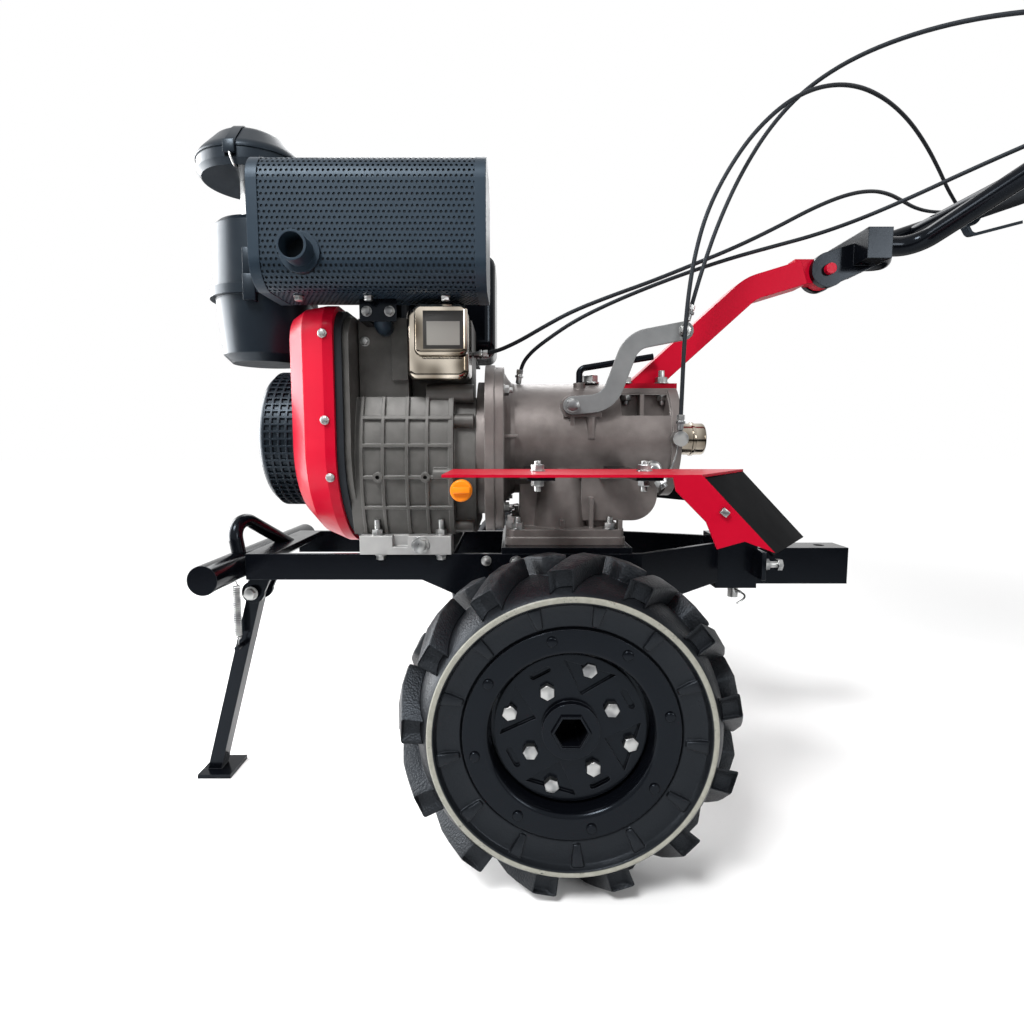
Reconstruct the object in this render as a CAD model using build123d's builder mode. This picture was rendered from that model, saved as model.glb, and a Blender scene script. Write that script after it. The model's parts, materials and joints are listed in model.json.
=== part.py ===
"""Two-wheeled walk-behind diesel power weeder, parked on its front stand.

Millimetres, +Z up, floor at Z = 0. -X is the front (air cleaner and stand), +X the rear
(handlebar), -Y the machine's left. Stations along X are written from the wheel axle,
negative ahead of it, and sx() turns them into the part's own X.
"""
from build123d import *
from math import atan2, cos, degrees, radians, sin, sqrt, tan
import os

os.makedirs("parts", exist_ok=True)

# Fits between pieces
RUN_FIT = 0.05       # radial clearance of a pin or shaft that turns
SEAT_GAP = 0.3       # room between curved faces that only seat on each other

# Wheels
TYRE_R = 194.0       # to the lug tips at the middle of the tread
TRACK_HALF = 310.0   # middle plane of the machine to middle plane of a wheel
TYRE_HALF_W = 51.0   # to the pale ring on the sidewall
RING_R = 157.0
CARCASS_R = 180.0
CARCASS_HALF_W = 37.0
RIM_R = 101.6        # 8 inch bead seat
RIM_FLANGE_R = 119.0
RIM_HALF_W = 41.0
RIM_WALL = 4.0
RIM_LIP = 6.0
DISH_R = 89.0
HUB_FACE = 22.0      # hub plate's outer face from the wheel's middle plane
HUB_PLATE_T = 10.0
HUB_POCKETS = 4      # V-shaped, each round an outer bolt
HUB_POCKET_FIRST = 73.0
HUB_POCKET_IN = 40.0
HUB_POCKET_OUT = 79.0
HUB_POCKET_HALF = 22.0   # degrees
HUB_POCKET_T = 5.0
HUB_SLOT_R = 72.0
HUB_SLOT_L = 25.0
HUB_SLOT_W = 7.0
HUB_BOSS_R = 32.0
HUB_BOSS_H = 9.0
HUB_SLEEVE_R = 27.0
HUB_SLEEVE_L = 52.0
HEX_AF = 32.0        # hexagon axle across flats
LUGS = 13            # on each side of the tread, the two sides half a pitch apart
LUG_FIRST = 95.0     # degrees from the rear, towards the top
LUG_W = 27.0
LUG_SWEEP = 42.0     # how far a lug trails round the tread on its way to the middle
LUG_PAST_MID = 8.0
LUG_OUT = 46.0
LUG_FALL = 9.5       # the lug tips fall towards the shoulder
LUG_POCKET_W = 9.0   # hollow in the lug's end
LUG_POCKET_T = 6.0

# Axle housing and gearbox
AXLE_Z = TYRE_R
AXLE_JOURNAL_R = 17.5
AXLE_TUBE_R = 31.0
AXLE_TUBE_END = 190.0
AXLE_HUB_R = 58.0
AXLE_HUB_HALF = 72.0
CRANK_Z = 515.0
RAIL_TOP = 350.0
SADDLE_T = 9.0       # plate that carries the gearbox on the rails
CASE_R = 86.0
COLUMN_BASE = CRANK_Z + CASE_R - 10
CASE_FRONT = -77.0
CASE_REAR = 183.0
FOOT_FRONT = -75.0
FOOT_REAR = 103.0
FOOT_T = 23.0
FOOT_HALF_W = 95.0
NECK_X = 9.0         # cone of the neck, one each side
NECK_Y = 40.0
NECK_FOOT_R = 42.0
NECK_TOP_R = 33.0
SUMP_FRONT = 40.0
SUMP_REAR = 154.0
SUMP_BOTTOM = 392.0
SUMP_HALF_W = 64.0
BELL_FRONT = -104.0
BELL_W = 236.0
BELL_H = 250.0
BELL_CORNER = 70.0
BELL_DROP = 15.0     # bell flange below the crank line
BELL_NECK_R = 104.0
LEG_FRONT = -52.0
LEG_REAR = 60.0
END_CAP_R = 25.0
END_CAP_REAR = 240.0
ARM_STATIONS = (-33.0, 85.0)   # fender arms
CLUTCH_PIVOT = (22.0, 563.0)   # station and height
CLUTCH_END = (180.0, 668.0)
CLUTCH_BOSS_R = 16.0
CLUTCH_BOSS_OUT = CASE_R - 2
CLUTCH_ARM_T = 6.0
REVERSE_X = 176.0
REVERSE_R = 11.0
SHIFT_X = 38.0
SHIFT_Y = -34.0
SHIFT_FOOT = CRANK_Z + CASE_R - 1
SHIFT_R = 5.0

# Engine
BLOCK_FRONT = -295.0
BLOCK_REAR = -117.0
BLOCK_HALF_W = 120.0   # at the bulge of the crankcase
BLOCK_EDGE = 98.0      # at its top and foot
BLOCK_SEAM = -150.0    # timing cover from here to the rear
RIB_STATIONS = (-277.0, -247.0, -213.0, -185.0)
RIB_HEIGHTS = (417.0, 461.0, 506.0, 545.0)
RIB_T = 4.5
RIB_RISE = 5.0
FOOT_BAR_H = 27.0
FOOT_BAR_W = 36.0
FOOT_BAR_OUT = 120.0
BLOCK_TOP = 575.0
HEAD_HALF_W = 55.0
JACKET_OUT = 88.0    # cylinder jacket on the left of the head
HEAD_FRONT = -285.0
HEAD_REAR = -125.0
ROCKER_FRONT = -210.0
ROCKER_OUT = 148.0
ROCKER_H = 100.0
ROCKER_LEDGE = 128.0   # lower step of the cover
SHROUD_FRONT = -377.0
SEAL_T = 10.0
SHROUD_HALF_W = 150.0
SHROUD_BOTTOM = 354.0
SHROUD_TOP = 698.0
SHROUD_CORNER = 40.0
SHROUD_RIM_T = 14.0
HEAD_TOP = SHROUD_TOP - 8
ROCKER_TOP = HEAD_TOP + 6
ROCKER_BOTTOM = ROCKER_TOP - ROCKER_H
STARTER_FRONT = -433.0
STARTER_R = 101.0
MUFFLER_FRONT = -392.0
MUFFLER_REAR = -97.0
MUFFLER_OUT = 200.0  # near face from the middle plane
MUFFLER_IN = 62.0
MUFFLER_BOTTOM = SHROUD_TOP + 5
MUFFLER_TOP = MUFFLER_BOTTOM + 166
MUFFLER_WALL = 3.0
BAND_RISE = 2.0      # end bands stand proud of the muffler body
TAIL_X = -327.0
TAIL_Z = MUFFLER_BOTTOM + 41
TAIL_R = 18.0
TAIL_L = 32.0
COLLAR_R = 25.0      # round the foot of the tail stub
COLLAR_H = 4.0
TANK_FRONT = -280.0
TANK_REAR = -93.0
TANK_IN = 62.0
TANK_OUT = 205.0
TANK_BOTTOM = 652.0
TANK_TOP = 825.0
AIR_X = -459.0
AIR_Y = 20.0
AIR_CUP_BOTTOM = 634.0
AIR_CUP_R = 72.0
AIR_BAND_Z = 744.0
AIR_BODY_TOP = AIR_BAND_Z + 101
AIR_NECK_R = 20.0
AIR_CAP_X = AIR_X - 11   # neck and cap stand ahead of the body's axis
AIR_CAP_BOTTOM = AIR_BODY_TOP + 66
AIR_CAP_TOP = AIR_CAP_BOTTOM + 67
AIR_CAP_R = 80.0
OIL_X = -136.0
OIL_Z = 443.0
OIL_R = 15.5
OIL_SEAT = 114.0     # filler's face from the middle plane

# Frame, stand and hitch
RAIL_FRONT = -450.0
RAIL_OUT = 115.0
RAIL_H = 38.0
RAIL_T = 8.0
RAIL_REAR = 257.0
BED_T = 10.0
BUMPER_R = 20.0
BUMPER_HALF = 200.0
HOOP_R = 10.0
HOOP_TOP = 412.0
STAND_X = -452.0
STAND_Z = 287.0
STAND_Y = -70.0
STAND_LEG_W = 24.0
STAND_LEG_T = 20.0
STAND_PIN_R = 6.0
STAND_FOOT_X = -528.0
EAR_T = 6.0
EAR_R = 17.0
PEG_R = 4.0
PEG_DROP = 85.0     # spring pegs on the leg, below the pivot
SPRING_R = 6.5
SPRING_OUT = 26.0    # springs each side of the leg
HITCH_FRONT = 257.0
HITCH_REAR = 322.0
HITCH_BOTTOM = 280.0
HITCH_TOP = 362.0
HITCH_HALF_W = 34.0
HITCH_PIN_R = 8.0
DRAWBAR_H = 58.0
DRAWBAR_HALF_W = 25.0
DRAWBAR_WALL = 5.0
DRAWBAR_REAR = 470.0
DRAWBAR_PIN_R = 8.25
DRAWBAR_Z = 314.0

# Handle column and handlebar
COLUMN_FRONT = 95.0
COLUMN_W = 46.0
COLUMN_H = 36.0
TILT_X = 418.0
TILT_Z = 772.0
TILT_PIN_R = 8.0
TONGUE_R = 24.0
TONGUE_W = 24.0
YOKE_T = 10.0
YOKE_REAR = 490.0
BAR_R = 14.0
BAR_START_Y = 40.0
GRIP_X = 955.0
GRIP_Y = 275.0
GRIP_Z = 1000.0
GRIP_R = 18.0
GRIP_L = 122.0
BEND_X = 640.0
BEND_Y = 232.0
BEND_Z = 890.0
CROSS_R = 9.0
CLAMP_R = 26.0       # lever clamp round the bar
CLAMP_L = 22.0
CABLE_R = 3.0

# Fenders
FENDER_FRONT = -137.0
FENDER_FOLD = 129.0
FENDER_OUT = 360.0
FENDER_IN = 235.0
FENDER_Z = 475.0
FENDER_T = 3.0
FOLD_SKEW = 89.0     # the fold runs rearwards on its way inwards
FLAP_RUN = 78.0
FLAP_DROP = 81.0
ARM_T = 6.0
ARM_W = 30.0

# The origin is below the middle of the overall length
grip_run = Vector(GRIP_X - BEND_X, GRIP_Y - BEND_Y, GRIP_Z - BEND_Z).normalized()
FRONT_REACH = -AIR_CAP_X + AIR_CAP_R
REAR_REACH = GRIP_X + GRIP_R * sqrt(1 - grip_run.X**2)
AXLE_X = (FRONT_REACH - REAR_REACH) / 2


def sx(station):
    """Part X of a station given from the axle."""
    return AXLE_X + station


def save(piece, name):
    """Label a finished piece and write its own file."""
    piece.part.label = name
    export_step(piece.part, f"parts/{name}.step")


def span_box(x0, x1, y0, y1, z0, z1, mode=Mode.ADD):
    """Block between two stations, two Y values and two heights, in the current part."""
    with Locations((sx((x0 + x1) / 2), (y0 + y1) / 2, (z0 + z1) / 2)):
        Box(x1 - x0, abs(y1 - y0), z1 - z0, mode=mode)


def route_radii(points):
    """Bend radius at each inner point: 0.45 of the shorter run over tan(half the turn)."""
    radii = []
    for before, here, after in zip(points, points[1:], points[2:]):
        run_in = Vector(*here) - Vector(*before)
        run_out = Vector(*after) - Vector(*here)
        turn = radians(run_in.get_angle(run_out))
        radii.append(0.45 * min(run_in.length, run_out.length) / tan(turn / 2))
    return radii


def round_bar(points, radius, bends):
    """Round bar swept along straight runs with arcs at the corners."""
    with BuildPart() as bar:
        with BuildLine() as path:
            FilletPolyline(*points, radius=bends)
        with BuildSketch(Plane(path.line @ 0, z_dir=path.line % 0)):
            Circle(radius)
        sweep(path=path.line)
    return bar


# Wheels: tyre, rim, hub and hexagon half axle, alike on both sides
for side_name, side in (("left", -1), ("right", 1)):
    wheel_y = side * TRACK_HALF
    spin_axis = Axis((AXLE_X, 0, AXLE_Z), (0, 1, 0))
    section = Plane(origin=(AXLE_X, wheel_y, AXLE_Z), x_dir=(1, 0, 0), z_dir=(0, 0, 1))

    # one lug of each row: a slanted bar on a tangent plane, its flat tip falling towards the shoulder
    hub_point = Vector(AXLE_X, wheel_y, AXLE_Z)
    half_run = LUG_SWEEP / 2
    lug_tip = sqrt(TYRE_R**2 - (half_run + LUG_W / 2) ** 2)
    lug_lead = degrees(half_run / CARCASS_R)
    lugs = []
    for row in (1, -1):
        out = row * side
        angle = radians(LUG_FIRST - lug_lead + (0 if row == 1 else 180 / LUGS))
        radial = Vector(cos(angle), 0, sin(angle))
        around = Vector(-sin(angle), 0, cos(angle))
        with BuildPart() as lug:
            tangent = Plane(origin=hub_point + radial * RING_R, x_dir=around, z_dir=radial)
            with BuildSketch(tangent):
                Polygon(
                    (half_run - LUG_W / 2, -out * LUG_OUT), (half_run + LUG_W / 2, -out * LUG_OUT),
                    (LUG_W / 2 - half_run, out * LUG_PAST_MID), (-LUG_W / 2 - half_run, out * LUG_PAST_MID),
                    align=None,
                )
            extrude(amount=TYRE_R - RING_R)
            with BuildSketch(Plane(origin=hub_point, x_dir=(0, out, 0), z_dir=around * -out)):
                Polygon(
                    (-LUG_PAST_MID, 0), (LUG_OUT, 0), (LUG_OUT, lug_tip - LUG_FALL), (LUG_OUT / 4, lug_tip),
                    (-LUG_PAST_MID, lug_tip), align=None,
                )
            extrude(amount=LUG_SWEEP + LUG_W, both=True, mode=Mode.INTERSECT)
            with BuildSketch(tangent):
                with Locations((half_run, -out * LUG_OUT)):
                    Rectangle(LUG_POCKET_W, 2 * LUG_POCKET_T)
            extrude(amount=lug_tip - LUG_FALL - LUG_POCKET_W - RING_R, mode=Mode.SUBTRACT)
        lugs += [lug.part.rotate(spin_axis, i * 360 / LUGS) for i in range(LUGS)]

    with BuildPart() as tyre:
        half = (
            (RIM_R + SEAT_GAP, RIM_HALF_W - RIM_WALL - SEAT_GAP),
            (RIM_FLANGE_R + 2, RIM_HALF_W - RIM_WALL - SEAT_GAP),
            (RING_R - 9, TYRE_HALF_W - 6),
            (RING_R, TYRE_HALF_W),
            (CARCASS_R, CARCASS_HALF_W),
        )
        with BuildSketch(section):
            Polygon(*half, *[(r, -y) for r, y in reversed(half)], align=None)
        revolve(axis=spin_axis)
        add(lugs)
    save(tyre, f"tyre_{side_name}")

    web = HUB_FACE - HUB_PLATE_T
    with BuildPart() as rim:
        with BuildSketch(section) as rim_section:
            Polygon(
                *[(r, side * y) for r, y in (
                    (RIM_FLANGE_R, RIM_HALF_W),
                    (DISH_R + 2, RIM_HALF_W),
                    (DISH_R, web),
                    (DISH_R - 26, web),
                    (DISH_R - 26, web - RIM_WALL),
                    (RIM_R - RIM_WALL, web - RIM_WALL),
                    (RIM_R - RIM_WALL, -RIM_HALF_W),
                    (RIM_FLANGE_R, -RIM_HALF_W),
                    (RIM_FLANGE_R, -RIM_HALF_W + RIM_WALL),
                    (RIM_R, -RIM_HALF_W + RIM_WALL),
                    (RIM_R, RIM_HALF_W - RIM_WALL),
                    (RIM_FLANGE_R, RIM_HALF_W - RIM_WALL),
                )],
                align=None,
            )
            fillet(rim_section.vertices().sort_by_distance((DISH_R + 2, side * RIM_HALF_W))[0], RIM_LIP)
        revolve(axis=spin_axis)
    save(rim, f"rim_{side_name}")

    with BuildPart() as hub:
        with BuildSketch(section):
            Polygon(
                *[(r, side * y) for r, y in (
                    (0, HUB_FACE + HUB_BOSS_H),
                    (HUB_BOSS_R, HUB_FACE + HUB_BOSS_H),
                    (HUB_BOSS_R, HUB_FACE),
                    (DISH_R - 4, HUB_FACE),
                    (DISH_R - 4, web),
                    (HUB_SLEEVE_R, web),
                    (HUB_SLEEVE_R, web - HUB_SLEEVE_L),
                    (0, web - HUB_SLEEVE_L),
                )],
                align=None,
            )
        revolve(axis=spin_axis)
        with BuildSketch(Plane.XZ.offset(-wheel_y)):
            with Locations((AXLE_X, AXLE_Z)):
                RegularPolygon(HEX_AF / 2 + SEAT_GAP, 6, major_radius=False)
        extrude(amount=2 * TRACK_HALF, both=True, mode=Mode.SUBTRACT)
        with BuildSketch(Plane.XZ.offset(-(wheel_y + side * HUB_FACE))):
            for i in range(HUB_POCKETS):
                turn = HUB_POCKET_FIRST + i * 360 / HUB_POCKETS
                Polygon(
                    *[(AXLE_X + r * cos(radians(a)), AXLE_Z + r * sin(radians(a))) for r, a in (
                        (HUB_POCKET_IN, turn),
                        (HUB_POCKET_OUT, turn - HUB_POCKET_HALF),
                        (HUB_POCKET_OUT, turn + HUB_POCKET_HALF),
                    )],
                    align=None,
                )
                between = turn + 180 / HUB_POCKETS
                slot_x = AXLE_X + HUB_SLOT_R * cos(radians(between))
                slot_z = AXLE_Z + HUB_SLOT_R * sin(radians(between))
                with Locations((slot_x, slot_z)):
                    SlotOverall(HUB_SLOT_L, HUB_SLOT_W, rotation=between + 90)
        extrude(amount=side * HUB_POCKET_T, mode=Mode.SUBTRACT)
    save(hub, f"hub_{side_name}")

    # round journal inside the axle tube, hexagon from there out into the hub
    hex_start = AXLE_TUBE_END + 6
    with BuildPart() as axle:
        with BuildSketch(Plane.XZ.offset(-side * 6)):
            with Locations((AXLE_X, AXLE_Z)):
                Circle(AXLE_JOURNAL_R)
        extrude(amount=-side * (hex_start - 6))
        with BuildSketch(Plane.XZ.offset(-side * hex_start)):
            with Locations((AXLE_X, AXLE_Z)):
                RegularPolygon(HEX_AF / 2, 6, major_radius=False)
        extrude(amount=-side * (TRACK_HALF - 22 - hex_start))
    save(axle, f"axle_{side_name}")

# Axle leg: cast leg below the gearbox with a tube to each wheel
with BuildPart() as gearbox_leg:
    leg_top = RAIL_TOP
    with BuildSketch(Plane.XY.offset(leg_top)):
        with Locations((sx((LEG_FRONT + LEG_REAR) / 2), 0)):
            RectangleRounded(LEG_REAR - LEG_FRONT, 2 * AXLE_HUB_HALF - 10, 12)
    with BuildSketch(Plane.XY.offset(AXLE_Z)):
        with Locations((AXLE_X, 0)):
            RectangleRounded(2 * AXLE_HUB_R - 12, 2 * AXLE_HUB_HALF - 10, 12)
    loft()
    for radius, half_length in ((AXLE_HUB_R, AXLE_HUB_HALF), (AXLE_TUBE_R, AXLE_TUBE_END)):
        with BuildSketch(Plane.XZ):
            with Locations((AXLE_X, AXLE_Z)):
                Circle(radius)
        extrude(amount=half_length, both=True)
    with BuildSketch(Plane.XZ):
        with Locations((AXLE_X, AXLE_Z)):
            Circle(AXLE_JOURNAL_R + RUN_FIT)
    extrude(amount=AXLE_TUBE_END, both=True, mode=Mode.SUBTRACT)
save(gearbox_leg, "gearbox_leg")

# Gearbox: barrel on a neck with a bolted foot
case_foot = RAIL_TOP + SADDLE_T
with BuildPart() as gearbox_case:
    barrel = (
        (CASE_FRONT, 0), (CASE_FRONT, CASE_R + 18), (CASE_FRONT + 5, CASE_R + 9), (CASE_FRONT + 10, CASE_R + 3),
        (CASE_FRONT + 16, CASE_R), (CASE_REAR - 14, CASE_R), (CASE_REAR - 14, CASE_R + 4), (CASE_REAR, CASE_R + 4),
        (CASE_REAR, 0),
    )
    with BuildSketch(Plane.XZ):
        Polygon(*[(sx(x), CRANK_Z + r) for x, r in barrel], align=None)
    revolve(axis=Axis((0, 0, CRANK_Z), (1, 0, 0)))
    foot_top = case_foot + FOOT_T
    for low, shrink in ((case_foot, 0), (case_foot + FOOT_T / 2, 2)):
        with BuildSketch(Plane.XY.offset(low)):
            with Locations((sx((FOOT_FRONT + FOOT_REAR) / 2), 0)):
                RectangleRounded(FOOT_REAR - FOOT_FRONT - 2 * shrink, 2 * (FOOT_HALF_W - shrink), 12)
        extrude(amount=FOOT_T / 2)
    span_box(FOOT_FRONT + 22, FOOT_REAR - 22, -52, 52, case_foot, CRANK_Z)
    for side in (-1, 1):
        for height, radius in ((foot_top, NECK_FOOT_R), (CRANK_Z - 30, NECK_TOP_R)):
            with BuildSketch(Plane.XY.offset(height)):
                with Locations((sx(NECK_X), side * NECK_Y)):
                    Circle(radius)
        loft()
        rib_x = NECK_X + NECK_FOOT_R
        span_box(rib_x, rib_x + 6, side * 40, side * 76, foot_top, foot_top + 46)
        for station in (NECK_X, FOOT_REAR - 8):
            span_box(station - 3, station + 3, side * 70, side * (FOOT_HALF_W - 4), foot_top, foot_top + 14)
        gusset_z = CRANK_Z + 2
        span_box(CASE_FRONT, CASE_FRONT + 20, side * 70, side * (CASE_R + 16), gusset_z, gusset_z + 4)
    with BuildSketch(Plane.XZ) as sump:
        Polygon(
            (sx(SUMP_FRONT), CRANK_Z), (sx(SUMP_REAR), CRANK_Z), (sx(SUMP_REAR), SUMP_BOTTOM),
            (sx(SUMP_FRONT), SUMP_BOTTOM), align=None,
        )
        fillet(sump.vertices().sort_by_distance((sx(SUMP_REAR), SUMP_BOTTOM))[0], 38)
    extrude(amount=SUMP_HALF_W, both=True)
    for station in ARM_STATIONS:
        span_box(station - 20, station + 20, -FOOT_HALF_W, FOOT_HALF_W, FENDER_Z - ARM_T - 12, FENDER_Z - ARM_T)

    # pad for the column, hollow below its edges, with one rib each side
    pad_front = COLUMN_FRONT - 7
    pad_under = COLUMN_BASE - 10
    span_box(pad_front, CASE_REAR, -50, 50, CRANK_Z, COLUMN_BASE)
    span_box(pad_front, CASE_REAR, -CASE_R - 5, CASE_R + 5, COLUMN_BASE, COLUMN_BASE + CASE_R, mode=Mode.SUBTRACT)
    for side in (-1, 1):
        span_box(pad_front + 8, CASE_REAR - 16, side * 38, side * (CASE_R + 5), pad_under - 32, pad_under,
                 mode=Mode.SUBTRACT)
        span_box(CASE_REAR - 57, CASE_REAR - 51, side * 36, side * 62, pad_under - 34, pad_under)

    # clutch shaft boss with its shelf, and the seat of the shift rod
    with BuildSketch(Plane.XZ.offset(CLUTCH_BOSS_OUT)):
        with Locations((sx(CLUTCH_PIVOT[0]), CLUTCH_PIVOT[1])):
            Circle(CLUTCH_BOSS_R)
    extrude(amount=-CLUTCH_BOSS_OUT)
    shelf_z = CLUTCH_PIVOT[1] - CLUTCH_BOSS_R
    shelf_x = CLUTCH_PIVOT[0]
    span_box(shelf_x - 12, shelf_x + 44, -CLUTCH_BOSS_OUT, -60, shelf_z, shelf_z + 7)
    span_box(shelf_x - 2, shelf_x + 4, -CLUTCH_BOSS_OUT, -60, shelf_z - 30, shelf_z)
    for x, y, radius, low, high in (
        (shelf_x + 29, -CASE_R + 6, 8, shelf_z - 32, shelf_z),
        (SHIFT_X, SHIFT_Y, 9, CRANK_Z + 60, SHIFT_FOOT),
    ):
        with BuildSketch(Plane.XY.offset(low)):
            with Locations((sx(x), y)):
                Circle(radius)
        extrude(amount=high - low)
save(gearbox_case, "gearbox_case")

bell_seam = (BELL_FRONT + CASE_FRONT) / 2
with BuildPart() as bell_housing:
    with BuildSketch(Plane.YZ.offset(sx(BLOCK_REAR))):
        with Locations((0, CRANK_Z - BELL_DROP)):
            Circle(BELL_NECK_R)
    extrude(amount=BELL_FRONT - BLOCK_REAR)
    for front, rear, shrink in ((BELL_FRONT, bell_seam, 0), (bell_seam, CASE_FRONT, 3)):
        with BuildSketch(Plane.YZ.offset(sx(front))):
            with Locations((0, CRANK_Z - BELL_DROP)):
                RectangleRounded(BELL_W - 2 * shrink, BELL_H - 2 * shrink, BELL_CORNER - shrink)
        extrude(amount=rear - front)
save(bell_housing, "bell_housing")

with BuildPart() as gearbox_end_cap:
    with BuildSketch(Plane.YZ.offset(sx(CASE_REAR))):
        with Locations((0, CRANK_Z)):
            Circle(END_CAP_R)
    extrude(amount=END_CAP_REAR - CASE_REAR)
    fillet(gearbox_end_cap.edges().sort_by(Axis.X)[-1], 4)
save(gearbox_end_cap, "gearbox_end_cap")

# Clutch arm: flat bar in an S on the gearbox's left, turned by a shaft out of its boss
arm_in = CLUTCH_BOSS_OUT + CLUTCH_ARM_T
arm_y = -(arm_in + CLUTCH_ARM_T / 2)
with BuildPart() as clutch_arm:
    with BuildLine() as arm_path:
        FilletPolyline(
            (sx(CLUTCH_PIVOT[0]), arm_y, CLUTCH_PIVOT[1]),
            (sx(CLUTCH_PIVOT[0] + 52), arm_y, CLUTCH_PIVOT[1] + 4),
            (sx(CLUTCH_END[0] - 74), arm_y, CLUTCH_END[1] - 14),
            (sx(CLUTCH_END[0]), arm_y, CLUTCH_END[1]),
            radius=38,
        )
    with BuildSketch(Plane(arm_path.line @ 0, x_dir=(0, 1, 0), z_dir=arm_path.line % 0)):
        Rectangle(CLUTCH_ARM_T, 26)
    sweep(path=arm_path.line)
    for (station, height), inner in ((CLUTCH_PIVOT, CLUTCH_BOSS_OUT), (CLUTCH_END, arm_in)):
        with BuildSketch(Plane.XZ.offset(inner)):
            with Locations((sx(station), height)):
                Circle(13)
        extrude(amount=arm_in + CLUTCH_ARM_T - inner)
save(clutch_arm, "clutch_arm")

with BuildPart() as reverse_lever:
    lever_in = CASE_R + 4 + SEAT_GAP
    with BuildSketch(Plane.XZ.offset(lever_in)):
        with Locations((sx(REVERSE_X), CRANK_Z)):
            Circle(REVERSE_R)
    extrude(amount=18)
save(reverse_lever, "reverse_lever")

shift_rod = round_bar(
    [
        (sx(SHIFT_X), SHIFT_Y, SHIFT_FOOT),
        (sx(SHIFT_X), SHIFT_Y, SHIFT_FOOT + 22),
        (sx(SHIFT_X + 112), SHIFT_Y, SHIFT_FOOT + 40),
    ],
    SHIFT_R, 10,
)
save(shift_rod, "shift_rod")

# Engine: block on two foot bars, head, chrome cover, shroud, starter
block_bottom = RAIL_TOP + FOOT_BAR_H
with BuildPart() as engine_feet:
    for side in (-1, 1):
        span_box(
            BLOCK_FRONT + 12, BLOCK_SEAM - 2, side * (FOOT_BAR_OUT - FOOT_BAR_W), side * FOOT_BAR_OUT,
            RAIL_TOP, block_bottom,
        )
        span_box(-236, -214, side * (FOOT_BAR_OUT - 12), side * FOOT_BAR_OUT, RAIL_TOP + 11, block_bottom,
                 mode=Mode.SUBTRACT)
save(engine_feet, "engine_feet")

block_mid = (block_bottom + BLOCK_TOP) / 2


def bulged_section(station, grow):
    """Crankcase section at a station: flat top and foot, bulged sides."""
    edge = BLOCK_EDGE + grow
    bulge = BLOCK_HALF_W + grow
    with BuildSketch(Plane.YZ.offset(sx(station))) as section:
        with BuildLine():
            ThreePointArc((-edge, block_bottom), (-bulge, block_mid), (-edge, BLOCK_TOP))
            Line((-edge, BLOCK_TOP), (edge, BLOCK_TOP))
            ThreePointArc((edge, BLOCK_TOP), (bulge, block_mid), (edge, block_bottom))
            Line((edge, block_bottom), (-edge, block_bottom))
        make_face()
    return section.sketch


def shroud_section(station, inset, top_inset):
    """Shroud outline at a station: round below, square above with rounded corners."""
    half_w = SHROUD_HALF_W - inset
    top = SHROUD_TOP - top_inset
    with BuildSketch(Plane.YZ.offset(sx(station))) as section:
        with BuildLine():
            ThreePointArc((-half_w, CRANK_Z), (0, SHROUD_BOTTOM + inset), (half_w, CRANK_Z))
            FilletPolyline((half_w, CRANK_Z), (half_w, top), (-half_w, top), (-half_w, CRANK_Z), radius=SHROUD_CORNER)
        make_face()
    return section.sketch


with BuildPart() as rib_grid:
    reach = 2 * BLOCK_HALF_W
    for station in RIB_STATIONS:
        span_box(station - RIB_T / 2, station + RIB_T / 2, -reach, reach, block_bottom, BLOCK_TOP)
    for height in RIB_HEIGHTS:
        span_box(RIB_STATIONS[0], BLOCK_SEAM, -reach, reach, height - RIB_T / 2, height + RIB_T / 2)
    extrude(bulged_section(BLOCK_FRONT, RIB_RISE), amount=BLOCK_SEAM - BLOCK_FRONT, mode=Mode.INTERSECT)

with BuildPart() as engine_block:
    for front, rear, grow in (
        (BLOCK_FRONT, BLOCK_SEAM, 0), (BLOCK_SEAM - 5, BLOCK_SEAM + 2, 4), (BLOCK_SEAM, BLOCK_REAR, -16),
    ):
        extrude(bulged_section(front, grow), amount=rear - front)
    add(rib_grid.part)
    extrude(shroud_section(BLOCK_FRONT, 12, 12), amount=HEAD_FRONT - BLOCK_FRONT - 2)

    # bosses along the engine on the timing side
    for front, rear, y, z, radius in (
        (-187, -120, -92, 580, 13),
        (BLOCK_SEAM, -120, -100, 541, 10),
        (-176, BLOCK_SEAM, -118, 466, 9),
        (BLOCK_SEAM, -121, -90, 388, 9),
    ):
        with BuildSketch(Plane.YZ.offset(sx(front))):
            with Locations((y, z)):
                Circle(radius)
        extrude(amount=rear - front)

    # bosses across it: two tapped ones in the ribs, and the filler's seat
    for x, z, radius, face in (
        (-254, RIB_HEIGHTS[1], 7, BLOCK_HALF_W + 7), (-187, RIB_HEIGHTS[1], 7, BLOCK_HALF_W + 7),
        (OIL_X, OIL_Z, 13, OIL_SEAT),
    ):
        with BuildSketch(Plane.XZ.offset(face)):
            with Locations((sx(x), z)):
                Circle(radius)
        extrude(amount=-40)
    for x in (-254, -187):
        with BuildSketch(Plane.XZ.offset(BLOCK_HALF_W + 7)):
            with Locations((sx(x), RIB_HEIGHTS[1])):
                Circle(3)
        extrude(amount=-12, mode=Mode.SUBTRACT)
save(engine_block, "engine_block")

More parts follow.
